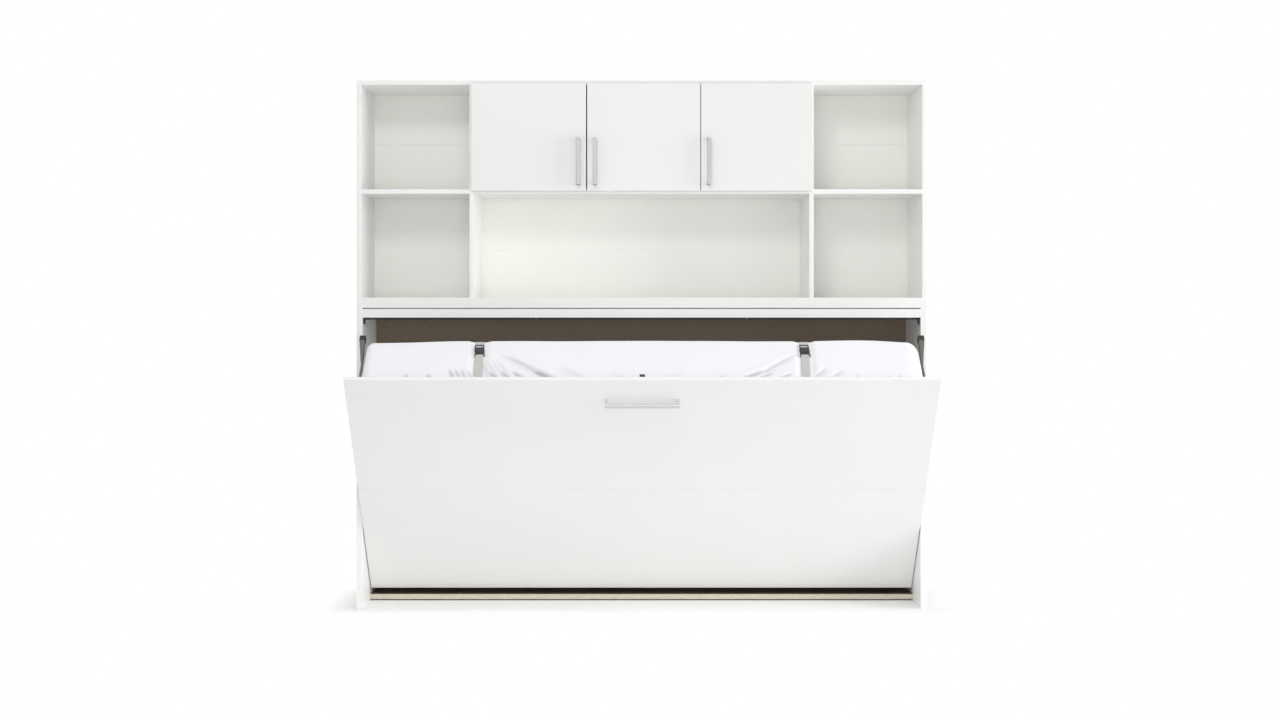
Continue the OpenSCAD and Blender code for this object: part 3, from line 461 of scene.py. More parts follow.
def add_piece(name, bm, materials, body, replaces=(), smooth=35.0, matrix=ROW):
    """Turns a bmesh into a shaded piece that rides on a body and may stand for CAD nodes."""
    bm.transform(matrix)
    bmesh.ops.recalc_face_normals(bm, faces=bm.faces)
    mesh = bpy.data.meshes.new(name)
    bm.to_mesh(mesh)
    bm.free()
    for material in materials:
        mesh.materials.append(material)
    for polygon in mesh.polygons:
        polygon.use_smooth = True
    mesh.set_sharp_from_angle(angle=math.radians(smooth))
    piece = show(bpy.data.objects.new(name, mesh))
    piece.modifiers.new("even_shading", "WEIGHTED_NORMAL").keep_sharp = True
    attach(piece, body)
    if replaces:
        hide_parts(*replaces)
    return piece


def body_of(node):
    """Name of the CAD body that holds a node."""
    return frame["nodes"][node]["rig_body"]


def round_edges(bm, edges, radius, segments=2):
    """Rounds the given edges."""
    bmesh.ops.bevel(bm, geom=edges, offset=radius, segments=segments, profile=0.5,
                    affect="EDGES", clamp_overlap=True)


SHARP_ANGLE = math.radians(30.0)
FLAT_ANGLE = math.radians(0.5)
LEAST_RADII = 3.0
WELD_REACH = 0.005 * MM


def round_sharp_edges(bm, radius, segments):
    """Rounds the edges that turn sharply and are more than LEAST_RADII radii long."""
    edges = [edge for edge in bm.edges
             if edge.is_manifold and edge.calc_face_angle() > SHARP_ANGLE
             and edge.calc_length() > LEAST_RADII * radius]
    if edges:
        round_edges(bm, edges, radius, segments)


def cad_shape(node):
    """A node's own shape as a bmesh whose faces share their corners."""
    bm = bmesh.new()
    bm.from_mesh(frame["nodes"][node].data)
    bmesh.ops.remove_doubles(bm, verts=bm.verts, dist=WELD_REACH)
    return bm


def dressed(node, radius, materials=None, second=None, segments=2):
    """The node's shape with rounded edges. second(face) is true for faces of the second material."""
    bm = cad_shape(node)
    bmesh.ops.dissolve_limit(bm, angle_limit=FLAT_ANGLE, verts=bm.verts, edges=bm.edges)
    if second:
        for face in bm.faces:
            face.material_index = 1 if second(face) else 0
    round_sharp_edges(bm, radius, segments)
    slot = SLOT_OF[node]
    return add_piece(node + "_piece", bm, materials or [MATERIAL_OF_SLOT[slot]], body_of(node),
                     [node])


def add_box(bm, centre, size, radius):
    """A box with rounded edges, added to a bmesh."""
    made = bmesh.new()
    bmesh.ops.create_cube(made, size=1.0)
    made.transform(Matrix.Translation(centre) @ Matrix.Diagonal((*size, 1.0)))
    round_edges(made, made.edges[:], radius)
    merge(bm, made)


def merge(bm, other, material_index=None):
    """Adds another bmesh to bm and frees it."""
    if material_index is not None:
        for face in other.faces:
            face.material_index = material_index
    mesh = bpy.data.meshes.new("part")
    other.to_mesh(mesh)
    other.free()
    bm.from_mesh(mesh)
    bpy.data.meshes.remove(mesh)


def add_rings(bm, rings):
    """Joins rings of points, each with as many points, into a tube and closes its ends."""
    rows = [[bm.verts.new(point) for point in ring] for ring in rings]
    count = len(rows[0])
    for row, following in zip(rows, rows[1:]):
        for i in range(count):
            bm.faces.new((row[i], row[(i + 1) % count], following[(i + 1) % count], following[i]))
    bm.faces.new(list(reversed(rows[0])))
    bm.faces.new(rows[-1])


# ---------------- screws and nails

# Rings of a head from its foot up: share of its radius, share of its height, and if it is lobed
SCREW_RINGS = ((1.0, 0.0, False), (1.0, 0.4, False), (0.9, 0.8, False), (0.66, 1.0, False),
               (0.5, 0.98, True), (0.42, 0.45, True))
SCREW_SIDES = 28
PLATE_SCREW_H = 1.6 * MM
NAIL_RINGS = ((1.0, 0.0, False), (1.0, 0.6, False), (0.8, 1.0, False))
NAIL_SIDES = 12
NAIL_R = 2.2 * MM
NAIL_H = 0.5 * MM
NAIL_PITCH = 140 * MM
NAIL_INSET = 9 * MM


def add_head(bm, place, axis, radius, height, rings=SCREW_RINGS, sides=SCREW_SIDES):
    """A head on a face at place, along axis: a screw's is domed, with a four-lobed recess."""
    to_place = Matrix.Translation(place) @ Vector(axis).to_track_quat("Z", "Y").to_matrix().to_4x4()
    made = []
    for share, lift, lobed in rings:
        ring = []
        for i in range(sides):
            angle = 2 * math.pi * i / sides
            lobe = 0.5 + 0.5 * abs(math.cos(2 * angle)) ** 3 if lobed else 1.0
            reach = radius * share * lobe
            ring.append(to_place @ Vector((reach * math.cos(angle), reach * math.sin(angle),
                                           lift * height)))
        made.append(ring)
    add_rings(bm, made)


def screw_boxes(node):
    """Lowest and highest corner of each separate screw of a node."""
    bm = cad_shape(node)
    left = set(bm.verts)
    boxes = []
    while left:
        screw, reached = set(), [left.pop()]
        while reached:
            vertex = reached.pop()
            screw.add(vertex)
            found = {edge.other_vert(vertex) for edge in vertex.link_edges} & left
            left -= found
            reached += found
        boxes.append([Vector([pick(v.co[i] for v in screw) for i in range(3)])
                      for pick in (min, max)])
    bm.free()
    return sorted(boxes, key=lambda box: tuple(box[0]))


def make_screws():
    """The strip's screws look forward. Those of the plates look to the middle of the bed."""
    bm = bmesh.new()
    for low, high in screw_boxes("strip_screws"):
        middle = (low + high) / 2
        add_head(bm, (middle.x, high.y, middle.z), (0, -1, 0), (high.x - low.x) / 2, high.y - low.y)
    add_piece("strip_screw_heads", bm, [SCREW_DULL], "cabinet", ["strip_screws"])
    bm = bmesh.new()
    for low, high in screw_boxes("mechanism_screws"):
        middle = (low + high) / 2
        base_x, inward = (high.x, -1) if middle.x > 0 else (low.x, 1)
        add_head(bm, (base_x, middle.y, middle.z), (inward, 0, 0), (high.y - low.y) / 2,
                 PLATE_SCREW_H)
    add_piece("plate_screw_heads", bm, [STEEL_ZINC], "cabinet",
              ["mechanism_screws"])


def make_back_nails():
    """Flat nail heads on the thin backs, seen from the wall's side."""
    bm = bmesh.new()

    def add_row(first, last):
        first, last = Vector(first), Vector(last)
        count = max(1, round((last - first).length / NAIL_PITCH))
        for i in range(count + 1):
            add_head(bm, first.lerp(last, i / count), (0, 1, 0), NAIL_R, NAIL_H, NAIL_RINGS,
                     NAIL_SIDES)

    def middle(node, axis):
        return sum(corner[axis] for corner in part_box(node)) / 2

    dividers = [(middle(node, 0), 5 * NAIL_INSET) for node in ("divider_left", "divider_right")]
    for node, levels, uprights in (("cabinet_back", [], []),
                                   ("hutch_back_boards", [middle("shelf_middle", 2)], dividers)):
        low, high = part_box(node)
        edges = (low.x + NAIL_INSET, high.x - NAIL_INSET)
        for z in [low.z + NAIL_INSET, high.z - NAIL_INSET] + levels:
            add_row((edges[0], high.y, z), (edges[1], high.y, z))
        for x, inset in [(edge, 4 * NAIL_INSET) for edge in edges] + uprights:
            add_row((x, high.y, low.z + inset), (x, high.y, high.z - inset))
    add_piece("back_nails", bm, [STEEL_ZINC], "cabinet")


# ---------------- cabinet, hutch and doors

BOARD_EDGE_R = 0.8 * MM
FRONT_EDGE_R = 1.1 * MM
THIN_EDGE_R = 0.4 * MM
METAL_EDGE_R = 0.5 * MM
HANDLE_EDGE_R = 1.2 * MM
RAIL_EDGE_R = 1.5 * MM
LEG_EDGE_R = 0.8 * MM
BAND_AREA = 0.001


def looks_forward(face):
    return face.normal.y < -0.9


def not_in_front(face):
    return face.normal.y > -0.5


def looks_up(face):
    return face.normal.z > 0.9


def looks_out(face):
    """True for banded front edges and for the outer faces of the whole piece of furniture, which get a
    darker white as painted shade.
    """
    middle = face.calc_center_median()
    outside = (abs(middle.x) > cad_box[1].x - MM and abs(face.normal.x) > 0.9
               or middle.z > cad_box[1].z - MM)
    return looks_forward(face) or outside


def make_boards():
    """Boards with banded front edges, the raw bottom board and the thin backs."""
    for node in ("cabinet_side_left", "cabinet_side_right", "cabinet_top_board", "apron_rail",
                 "rear_batten", "hutch_side_left", "hutch_side_right", "hutch_top_board",
                 "hutch_bottom_board", "divider_left", "divider_right", "shelf_left",
                 "shelf_middle", "shelf_right", "cupboard_partition"):
        dressed(node, BOARD_EDGE_R, [LIT_FOIL_WHITE, SHADED_EDGE_WHITE], looks_out)
    dressed("bottom_board", BOARD_EDGE_R, [BOARD_RAW, SHADED_BOARD_TOP], looks_up)
    dressed("cabinet_back", THIN_EDGE_R)
    dressed("hutch_back_boards", BOARD_EDGE_R, [BACK_WHITE, BACK_BROWN], not_in_front)


def make_doors():
    """Doors with a banded edge all round, their handles, hinge cups and hinge arms."""
    def is_edge(face):
        return abs(face.normal.y) < 0.5 and face.calc_area() > BAND_AREA

    for side in ("left", "middle", "right"):
        dressed("door_" + side, FRONT_EDGE_R, [SHADED_DOOR_WHITE, SHADED_EDGE_WHITE], is_edge)
        dressed("door_handle_" + side, HANDLE_EDGE_R, [SHADED_HANDLE_UPRIGHT], segments=3)
        dressed("hinge_cups_" + side, METAL_EDGE_R)
    dressed("hinge_arms", METAL_EDGE_R)


def make_fittings():
    """Steel of the cabinet and of the bed's pivots and springs."""
    for node in ("stop_strip", "stop_lugs", "pivot_plates", "pivot_pins", "spring_anchors",
                 "gas_cylinder_left", "gas_cylinder_right", "gas_rod_left", "gas_rod_right",
                 "bed_brackets", "pivot_bushes", "leg_hinges"):
        dressed(node, METAL_EDGE_R)


# ---------------- bed

def make_bed_boards():
    """Front boards, rails, slats and their holders, the bed's handle and the catch."""
    up_the_board = BED.to_3x3() @ Vector((0, 0, 1))

    def is_edge(face):
        return abs(face.normal.x) > 0.9 or abs(face.normal.dot(up_the_board)) > 0.9

    for node in ("front_panel_upper", "front_panel_lower"):
        dressed(node, FRONT_EDGE_R, [SHADED_FRONT_WHITE, LIT_PANEL_EDGE], is_edge)
    for node in ("rail_free_side", "mattress_keeper", "end_rail_left", "end_rail_right"):
        dressed(node, RAIL_EDGE_R)
    dressed("slats", RAIL_EDGE_R)
    dressed("slat_holders", METAL_EDGE_R, segments=1)
    dressed("bed_handle", HANDLE_EDGE_R, [HANDLE_LEVEL], segments=3)
    dressed("magnet_catch", RAIL_EDGE_R)


def make_legs():
    """Legs of painted steel with rubber caps."""
    for side in ("left", "right"):
        dressed("leg_" + side, LEG_EDGE_R)
        dressed("leg_cap_" + side, RAIL_EDGE_R, segments=3)


# ---------------- mattress

END_R_LEFT = 27 * MM
END_R_RIGHT = 46 * MM
END_SHIFT = 3 * MM
EDGE_R = 11 * MM
HEM_R = 11 * MM
CROWN = 2 * MM
SIDE_SWELL = 1.5 * MM
END_SWELL = 2.5 * MM
STATION_PITCH = 7 * MM
FINE_PITCH = 2.4 * MM
COARSE_PITCH = 20 * MM
FOLD_MARGIN = 26 * MM
FOLD_GAIN = 1.3
DEEPEST_FOLD = 5 * MM
ARC_STEPS = 10
END_STEPS = 9
CAP_STEPS = 7
CAP_OPENING = 0.4
DENT_DEPTH = 4 * MM
TOP_DENT = 3.5 * MM
DENT_FLAT = 18 * MM
DENT_FADE = 24 * MM
DROP_LEFT = 12 * MM
DROP_LEFT_RUN = 400 * MM
DROP_RIGHT = 9 * MM
DROP_RIGHT_RUN = 170 * MM
# Of a fold: its bend, how wide its flanks are on the side of the ridge and on the other, and the place,
# width and height of the ridge
FOLD_BEND = 0.12
FLANKS = (0.7, 1.7)
RIDGE = (1.9, 1.3, 0.15)
# Of a fan: the height of its feet, and how much longer and shallower each next fold is
FAN_FOOT = -4
FAN_GROWTH = 0.12
FAN_FADE = 0.08
# Waves of the cover: height, longest and shortest wave, how many, and the seed of their draws
TOP_WAVES = (1.3 * MM, 620 * MM, 240 * MM, 9, 5)
SIDE_WAVES = (0.5 * MM, 420 * MM, 130 * MM, 8, 9)
HEM_GATHERS = (0.55 * MM, 46 * MM, 17 * MM, 7, 21)
HEM_REACH = 22 * MM
GATHER_STRETCH = 0.3

MATTRESS_LOW, MATTRESS_HIGH = bed_box("mattress")
MID_T = (MATTRESS_LOW.y + MATTRESS_HIGH.y - CROWN) / 2
MID_S = (MATTRESS_LOW.z + MATTRESS_HIGH.z) / 2
HALF_T = MID_T - MATTRESS_LOW.y
HALF_S = MATTRESS_HIGH.z - MID_S
STRAP_LOW, STRAP_HIGH = bed_box("strap_right")
STRAP_X = (STRAP_LOW.x + STRAP_HIGH.x) / 2
STRAP_W = STRAP_HIGH.x - STRAP_LOW.x

# Folds of the cover on the free side, in millimetres: x and height over the mattress's underside at
# the foot of the fold, then at its head, half its width and its depth
FOLDS = [
    (-312, -4, -395, 48, 8, 7.5), (-353, 20, -508, 128, 10, 3.6), (-205, 0, -300, 56, 14, 1.4),
    (349, -4, 440, 44, 8, 5.0), (434, 40, 552, 128, 9, 2.6), (404, -4, 458, 28, 6, 4.4),
    (480, -4, 522, 22, 6, 4.2), (-818, -4, -834, 18, 5, 4.6), (-739, -4, -756, 20, 5, 4.6),
    (262, -2, 292, 8, 6, 3.4), (606, 4, 648, 52, 8, 2.6), (668, 2, 700, 38, 8, 2.4),
    (735, -4, 756, 14, 6, 2.8), (848, -4, 866, 12, 6, 2.4), (885, -4, 906, 14, 6, 2.4),
    (-60, -4, -120, 24, 14, 0.9), (60, -4, 150, 20, 16, 0.9),
]
# Fans of small folds beside the left strap: x of the first foot, pitch, count, run along x, height,
# half width and depth
FANS = [
    (-661, 22, 4, -20, 46, 5.0, 4.2),
    (-506, 45, 3, -38, 36, 6.0, 5.6),
    (-535, 24, 4, -42, 100, 6.0, 2.0),
]


def smoothstep(value):
    value = np.clip(value, 0.0, 1.0)
    return value * value * (3 - 2 * value)


def even_points(first, last, pitch):
    """Points from first to just before last, no more than pitch apart."""
    count = max(1, math.ceil(abs(last - first) / pitch))
    return [first + (last - first) * i / count for i in range(count)]


def mattress_ring():
    """Rows (t, s, normal t, normal s) round the mattress, from the middle of its free side."""
    low_t, high_t = MATTRESS_LOW.y, MATTRESS_HIGH.y - CROWN
    low_s, high_s = MATTRESS_LOW.z + SIDE_SWELL, MATTRESS_HIGH.z - SIDE_SWELL
    rows = []

    def straight(from_t, from_s, to_t, to_s, normal, pitch):
        for share in even_points(0.0, 1.0, pitch / max(abs(to_t - from_t), abs(to_s - from_s))):
            rows.append((from_t + (to_t - from_t) * share, from_s + (to_s - from_s) * share, *normal))

    def corner(centre_t, centre_s, start, radius):
        for i in range(ARC_STEPS):
            angle = math.radians(start + 90.0 * i / ARC_STEPS)
            rows.append((centre_t + radius * math.sin(angle), centre_s + radius * math.cos(angle),
                         math.sin(angle), math.cos(angle)))

    straight(MID_T, high_s, high_t - EDGE_R, high_s, (0, 1), FINE_PITCH)
    corner(high_t - EDGE_R, high_s - EDGE_R, 0, EDGE_R)
    straight(high_t, high_s - EDGE_R, high_t, low_s + EDGE_R, (1, 0), COARSE_PITCH)
    corner(high_t - EDGE_R, low_s + EDGE_R, 90, EDGE_R)
    straight(high_t - EDGE_R, low_s, low_t + HEM_R, low_s, (0, -1), COARSE_PITCH)
    corner(low_t + HEM_R, low_s + HEM_R, 180, HEM_R)
    straight(low_t, low_s + HEM_R, low_t, high_s - HEM_R, (-1, 0), COARSE_PITCH)
    corner(low_t + HEM_R, high_s - HEM_R, 270, HEM_R)
    straight(low_t + HEM_R, high_s, MID_T, high_s, (0, 1), FINE_PITCH)
    return np.array(rows)


def all_folds():
    """The single folds and those of the fans, longer and shallower from the first to the last."""
    folds = list(FOLDS)
    for foot_x, pitch, count, run, head, width, depth in FANS:
        folds += [(foot_x + pitch * i, FAN_FOOT, foot_x + pitch * i + run * (1 + FAN_GROWTH * i),
                   head, width, depth * (1 - FAN_FADE * i)) for i in range(count)]
    return folds


def station_places(left, right):
    """Places along x: closer together where the cover is folded."""
    spans = [(min(fold[0], fold[2]) * MM - FOLD_MARGIN, max(fold[0], fold[2]) * MM + FOLD_MARGIN)
             for fold in all_folds()]
    places = [left]
    while places[-1] < right - STATION_PITCH:
        x = places[-1]
        folded = any(low < x < high for low, high in spans)
        places.append(x + (FINE_PITCH if folded else STATION_PITCH))
    return places


def mattress_stations():
    """Rows (x, shrink) along the mattress; shrink draws a ring in where the ends are rounded."""
    left = MATTRESS_LOW.x + END_SWELL + END_SHIFT
    right = MATTRESS_HIGH.x - END_SWELL + END_SHIFT
    rows = [(left + END_R_LEFT * (1 - math.cos(math.pi / 2 * i / END_STEPS)),
             END_R_LEFT * (1 - math.sin(math.pi / 2 * i / END_STEPS))) for i in range(END_STEPS)]
    rows += [(x, 0.0) for x in station_places(left + END_R_LEFT, right - END_R_RIGHT)]
    rows += [(right - END_R_RIGHT * (1 - math.sin(math.pi / 2 * i / END_STEPS)),
              END_R_RIGHT * (1 - math.cos(math.pi / 2 * i / END_STEPS)))
             for i in range(END_STEPS + 1)]
    return np.array(rows)


def dent_at(x):
    """0 to 1: how far the straps press in at x."""
    reach = np.abs(np.abs(x) - STRAP_X)
    return 1.0 - smoothstep((reach - DENT_FLAT) / DENT_FADE)


def dent_depth(normal_t):
    """How deep the straps press in: more on the top and its edge than on the free side."""
    return DENT_DEPTH + TOP_DENT * smoothstep((normal_t - 0.1) / 0.5)


def fold_forms(x, height, fold):
    """Relief of a valley with a soft ridge above it, along a line on the free side, and how much painted
    shade the valley gets.
    """
    foot_x, foot_h, head_x, head_h, width, depth = [value * MM for value in fold]
    run_x, run_h = head_x - foot_x, head_h - foot_h
    length = math.hypot(run_x, run_h)
    along = ((x - foot_x) * run_x + (height - foot_h) * run_h) / length ** 2
    side = math.copysign(1.0, run_x)
    across = side * ((x - foot_x) * -run_h + (height - foot_h) * run_x) / length
    across = across - FOLD_BEND * length * along * (1 - along)
    taper = smoothstep(along * 4 + 1.0) * smoothstep((1.15 - along) * 1.6)
    flank = width * np.where(across > 0, *FLANKS)
    valley = np.exp(-np.abs(across / flank) ** 1.5)
    ridge_place, ridge_width, ridge_height = RIDGE
    ridge = np.exp(-((across - ridge_place * width) / (ridge_width * width)) ** 2)
    relief = FOLD_GAIN * depth * taper * (ridge_height * ridge - valley)
    return relief, taper * valley * depth / DEEPEST_FOLD


def soft_waves(u, v, height, longest, shortest, count, seed):
    """A smooth field of about that height, made of waves in all directions."""
    draw = random.Random(seed)
    total = np.zeros_like(u)
    for _ in range(count):
        wave = draw.uniform(shortest, longest)
        angle = draw.uniform(0, math.pi)
        phase = draw.uniform(0, 2 * math.pi)
        total += np.sin(2 * math.pi * (u * math.cos(angle) + v * math.sin(angle)) / wave + phase)
    return height * total / math.sqrt(count)


def cover_relief(x, t, s, normal_t, normal_s):
    """How far the cover stands off its plain form by folds, gathers and waves, and the painted shade of
    its folds.
    """
    height = t - MATTRESS_LOW.y
    free_side = smoothstep((normal_s - 0.2) / 0.6)
    relief = np.zeros_like(x)
    painted_crease_shade = np.zeros_like(x)
    for fold in all_folds():
        raised, painted_shading = fold_forms(x, height, fold)
        relief += free_side * raised
        painted_crease_shade = np.maximum(painted_crease_shade, free_side * painted_shading)
    away = 1.0 - dent_at(x)
    top = smoothstep((normal_t - 0.2) / 0.6)
    relief += away * top * soft_waves(x, s, *TOP_WAVES)
    relief += away * free_side * soft_waves(x, t, *SIDE_WAVES)
    sides = smoothstep((np.abs(normal_s) - 0.3) / 0.5)
    hem = np.exp(-height / HEM_REACH)
    relief += away * sides * hem * soft_waves(x, height * GATHER_STRETCH, *HEM_GATHERS)
    return relief, np.clip(painted_crease_shade, 0.0, 1.0)


def cap_rings(rim, reach):
    """Rings that close an end of the mattress, from its rim to its middle, swelling out by reach."""
    centre = np.array([rim[0][0], MID_T, MID_S])
    rings = []
    for i in range(1, CAP_STEPS + 1):
        share = 1 - i / (CAP_STEPS + CAP_OPENING)
        ring = centre + (rim - centre) * [1, share, 1 - (1 - share) * HALF_T / HALF_S]
        ring[:, 0] = rim[0][0] + reach * (1 - share ** 2)
        rings.append(ring)
    return rings


def make_mattress():
    """The mattress in its cover: crowned, with drawn-in ends, strap dents and the cover's folds."""
    ring = mattress_ring()
    stations = mattress_stations()
    count, rings = len(ring), len(stations)
    x, shrink = [np.repeat(stations[:, i:i + 1], count, axis=1) for i in range(2)]
    t, s, normal_t, normal_s = [np.repeat(ring[None, :, i], rings, axis=0) for i in range(4)]
    above = np.clip((t - MATTRESS_LOW.y) / (2 * HALF_T), 0, 1)
    drop = (DROP_LEFT * smoothstep((-x - MATTRESS_HIGH.x + DROP_LEFT_RUN) / DROP_LEFT_RUN)
            + DROP_RIGHT * smoothstep((x - MATTRESS_HIGH.x + DROP_RIGHT_RUN) / DROP_RIGHT_RUN))
    inside_s = 1 - np.clip(np.abs(s - MID_S) / HALF_S, 0, 1) ** 2
    inside_x = 1 - np.clip(np.abs(x) / MATTRESS_HIGH.x, 0, 1) ** 4
    inside_t = 1 - np.clip(np.abs(t - MID_T) / HALF_T, 0, 1) ** 2
    off, painted_crease_shade = cover_relief(x, t, s, normal_t, normal_s)
    dented = dent_at(x) * np.where(normal_t < -0.5, 0.0, 1.0)
    off -= dent_depth(normal_t) * dented * smoothstep((normal_t + 0.5) * 2)
    t_out = t + normal_t * off - drop * above + CROWN * inside_s * inside_x * (normal_t > 0.5)
    s_out = s + normal_s * off + SIDE_SWELL * inside_t * np.sign(normal_s) * (np.abs(normal_s) > 0.5)
    t_out = MID_T + (t_out - MID_T) * (1 - shrink / HALF_T)
    s_out = MID_S + (s_out - MID_S) * (1 - shrink / HALF_S)
    points = np.stack([x, t_out, s_out], axis=2)
    rows = cap_rings(points[0], -END_SWELL)[::-1] + list(points) + cap_rings(points[-1], END_SWELL)
    bm = bmesh.new()
    add_rings(bm, rows)
    # The painted shade of the fold valleys, read by the cover's material
    layer = bm.verts.layers.float.new("painted_crease_shade")
    still = np.zeros(CAP_STEPS * count)
    for vertex, value in zip(bm.verts, np.concatenate([still, painted_crease_shade.ravel(), still])):
        vertex[layer] = value
    piece = add_piece("mattress_cover", bm, [COVER_CLOTH], "bed", ["mattress"],
                      smooth=75, matrix=BED)


# ---------------- straps and buckles

WEBBING_T = 1.6 * MM
WEBBING_LIFT = 0.5 * MM
STRAP_COLUMNS = 12
STRAP_PITCH = 6 * MM
FAR_REACH = 8 * MM
# Of a band: the share of its half width that thins to the edge, its ribs' height and their count
SELVEDGE = 0.1
RIB_HEIGHT = 0.06
RIBS = 5
STRAP_FOOT_SKEW = {-1: 4 * MM, 1: -6 * MM}
BUCKLE_LOW, BUCKLE_HIGH = bed_box("strap_buckles")
BUCKLE_L = BUCKLE_HIGH.y - BUCKLE_LOW.y
BUCKLE_W = 2 * (BUCKLE_HIGH.x - STRAP_X)
BUCKLE_T = BUCKLE_HIGH.z - BUCKLE_LOW.z
# The webbing's rise over the part it is threaded through, and how far along it that reaches
THREAD_RISE = 3.4 * MM
THREAD_REACH = 5 * MM
# The hem under each buckle: sewn flat over TAB_L, then turned up round the buckle's bar
TAB_L = 27 * MM
HEM_T = 1.5 * MM
HEM_NARROWER = 1.5 * MM
HEM_ASIDE = 0.3 * MM
HEM_LIFT = 0.1 * MM
HEM_SWELL = 0.3 * MM
HEM_STEP = 0.9 * MM
HEM_PITCH = 3 * MM
TURN_R = 3.0 * MM
TURN_STEPS = 6
TURN_LEAN = 0.3
# Two rows of dark stitches across the hem: real stitching, and also painted shadow at the hem's sewn end
STITCH_SIZE = Vector((2.2, 1.0, 1.0)) * MM
STITCH_R = 0.35 * MM
STITCH_COUNT = 10
STITCH_PITCH = 2.9 * MM
STITCH_RISE = 1.8 * MM
STITCH_WANDER = 0.35 * MM
STITCH_WAVE = 1.3
STITCH_ROWS = (3.2 * MM, 5.6 * MM)


def strap_path():
    """Rows (t, s, normal t, normal s) of the strap's inner face, from its foot to its far end."""
    path = []
    for t, s, normal_t, normal_s in mattress_ring():
        if normal_s < -0.99 and t < MATTRESS_LOW.y + HEM_R + FAR_REACH:
            break
        swell = SIDE_SWELL * (1 - min(1, abs(t - MID_T) / HALF_T) ** 2) if abs(normal_s) > 0.5 else 0
        crown = CROWN * (1 - min(1, abs(s - MID_S) / HALF_S) ** 2) if normal_t > 0.5 else 0
        lift = WEBBING_LIFT - float(dent_depth(normal_t))
        path.append((t + normal_t * lift + crown, s + normal_s * lift + math.copysign(swell, normal_s),
                     normal_t, normal_s))
    foot = path[0]
    start = [(t, foot[1], 0.0, 1.0) for t in even_points(STRAP_LOW.y, foot[0], STRAP_PITCH)]
    return start + path


def add_band(bm, rows, centre_x, width, thickness, shift=lambda t, normal_s: 0.0):
    """A woven band along rows of (t, s, normal t, normal s), with rounded selvedges."""
    rings = []
    for t, s, normal_t, normal_s in rows:
        side = centre_x + shift(t, normal_s)
        inner, outer = [], []
        for i in range(STRAP_COLUMNS + 1):
            share = 2.0 * i / STRAP_COLUMNS - 1.0
            edge = 0.5 * (1.0 - max(0.0, abs(share) - 1.0 + SELVEDGE) / SELVEDGE)
            rib = RIB_HEIGHT * math.cos(share * RIBS * math.pi)
            x = side + share * width / 2
            low, high = thickness * (0.5 - edge), thickness * (0.5 + edge + rib * edge)
            inner.append(Vector((x, t + normal_t * low, s + normal_s * low)))
            outer.append(Vector((x, t + normal_t * high, s + normal_s * high)))
        rings.append(inner + list(reversed(outer)))
    add_rings(bm, rings)


def add_slab(bm, outline, low_s, high_s, radius, place):
    """A plate with an outline of (x, t) points between two heights, its edges rounded."""
    made = bmesh.new()
    base = made.faces.new([made.verts.new((x, t, low_s)) for x, t in outline])
    lifted = bmesh.ops.extrude_face_region(made, geom=[base])
    risen = [v for v in lifted["geom"] if isinstance(v, bmesh.types.BMVert)]
    bmesh.ops.translate(made, verts=risen, vec=(0, 0, high_s - low_s))
    bmesh.ops.recalc_face_normals(made, faces=made.faces)
    round_edges(made, made.edges[:], radius)
    made.transform(place)
    merge(bm, made)


SLOT_LOW = 51.0 * MM
SLOT_HIGH = 58.5 * MM
BODY_LOW = 19.5 * MM
BODY_HIGH = 44.5 * MM
BAR_LOW = 13.5 * MM
BAR_HIGH = 20.5 * MM
HALF_W = BUCKLE_W / 2
WIDE = HALF_W - 0.6 * MM
WAIST = HALF_W - 5.2 * MM
BUCKLE_TURN = {-1: math.radians(4.0), 1: math.radians(1.0)}

# Plates of a buckle: its outline's (x, t) points, its lowest and highest face and its edge radius. Of
# those across the buckle this is the right half: the body with its pad, step, upper bar and lower bar
PLATES_ACROSS = [
    ([(WAIST, BODY_LOW), (WAIST - 0.8 * MM, BODY_LOW + 3 * MM),
      (WAIST - 0.8 * MM, BODY_LOW + 15 * MM), (WIDE - 0.6 * MM, BODY_LOW + 19 * MM),
      (WIDE - 1.4 * MM, BODY_HIGH)], 0.4 * MM, BUCKLE_T - 0.4 * MM, 1.1 * MM),
    ([(WAIST - 3 * MM, BODY_LOW + 4 * MM), (WAIST - 3 * MM, BODY_HIGH - 3.5 * MM)],
     BUCKLE_T - 1.2 * MM, BUCKLE_T, 0.35 * MM),
    ([(WIDE - 1.6 * MM, BODY_HIGH - 1 * MM), (WIDE - 1.9 * MM, SLOT_LOW)],
     0.4 * MM, BUCKLE_T - 3.0 * MM, 0.6 * MM),
    ([(WIDE - 1.6 * MM, SLOT_HIGH), (WIDE - 2.2 * MM, BUCKLE_L)],
     2.6 * MM, BUCKLE_T - 0.8 * MM, 0.9 * MM),
    ([(HALF_W - 4.5 * MM, BAR_LOW), (HALF_W - 4.5 * MM, BAR_HIGH)],
     2.2 * MM, BUCKLE_T - 2.2 * MM, 0.8 * MM),
]
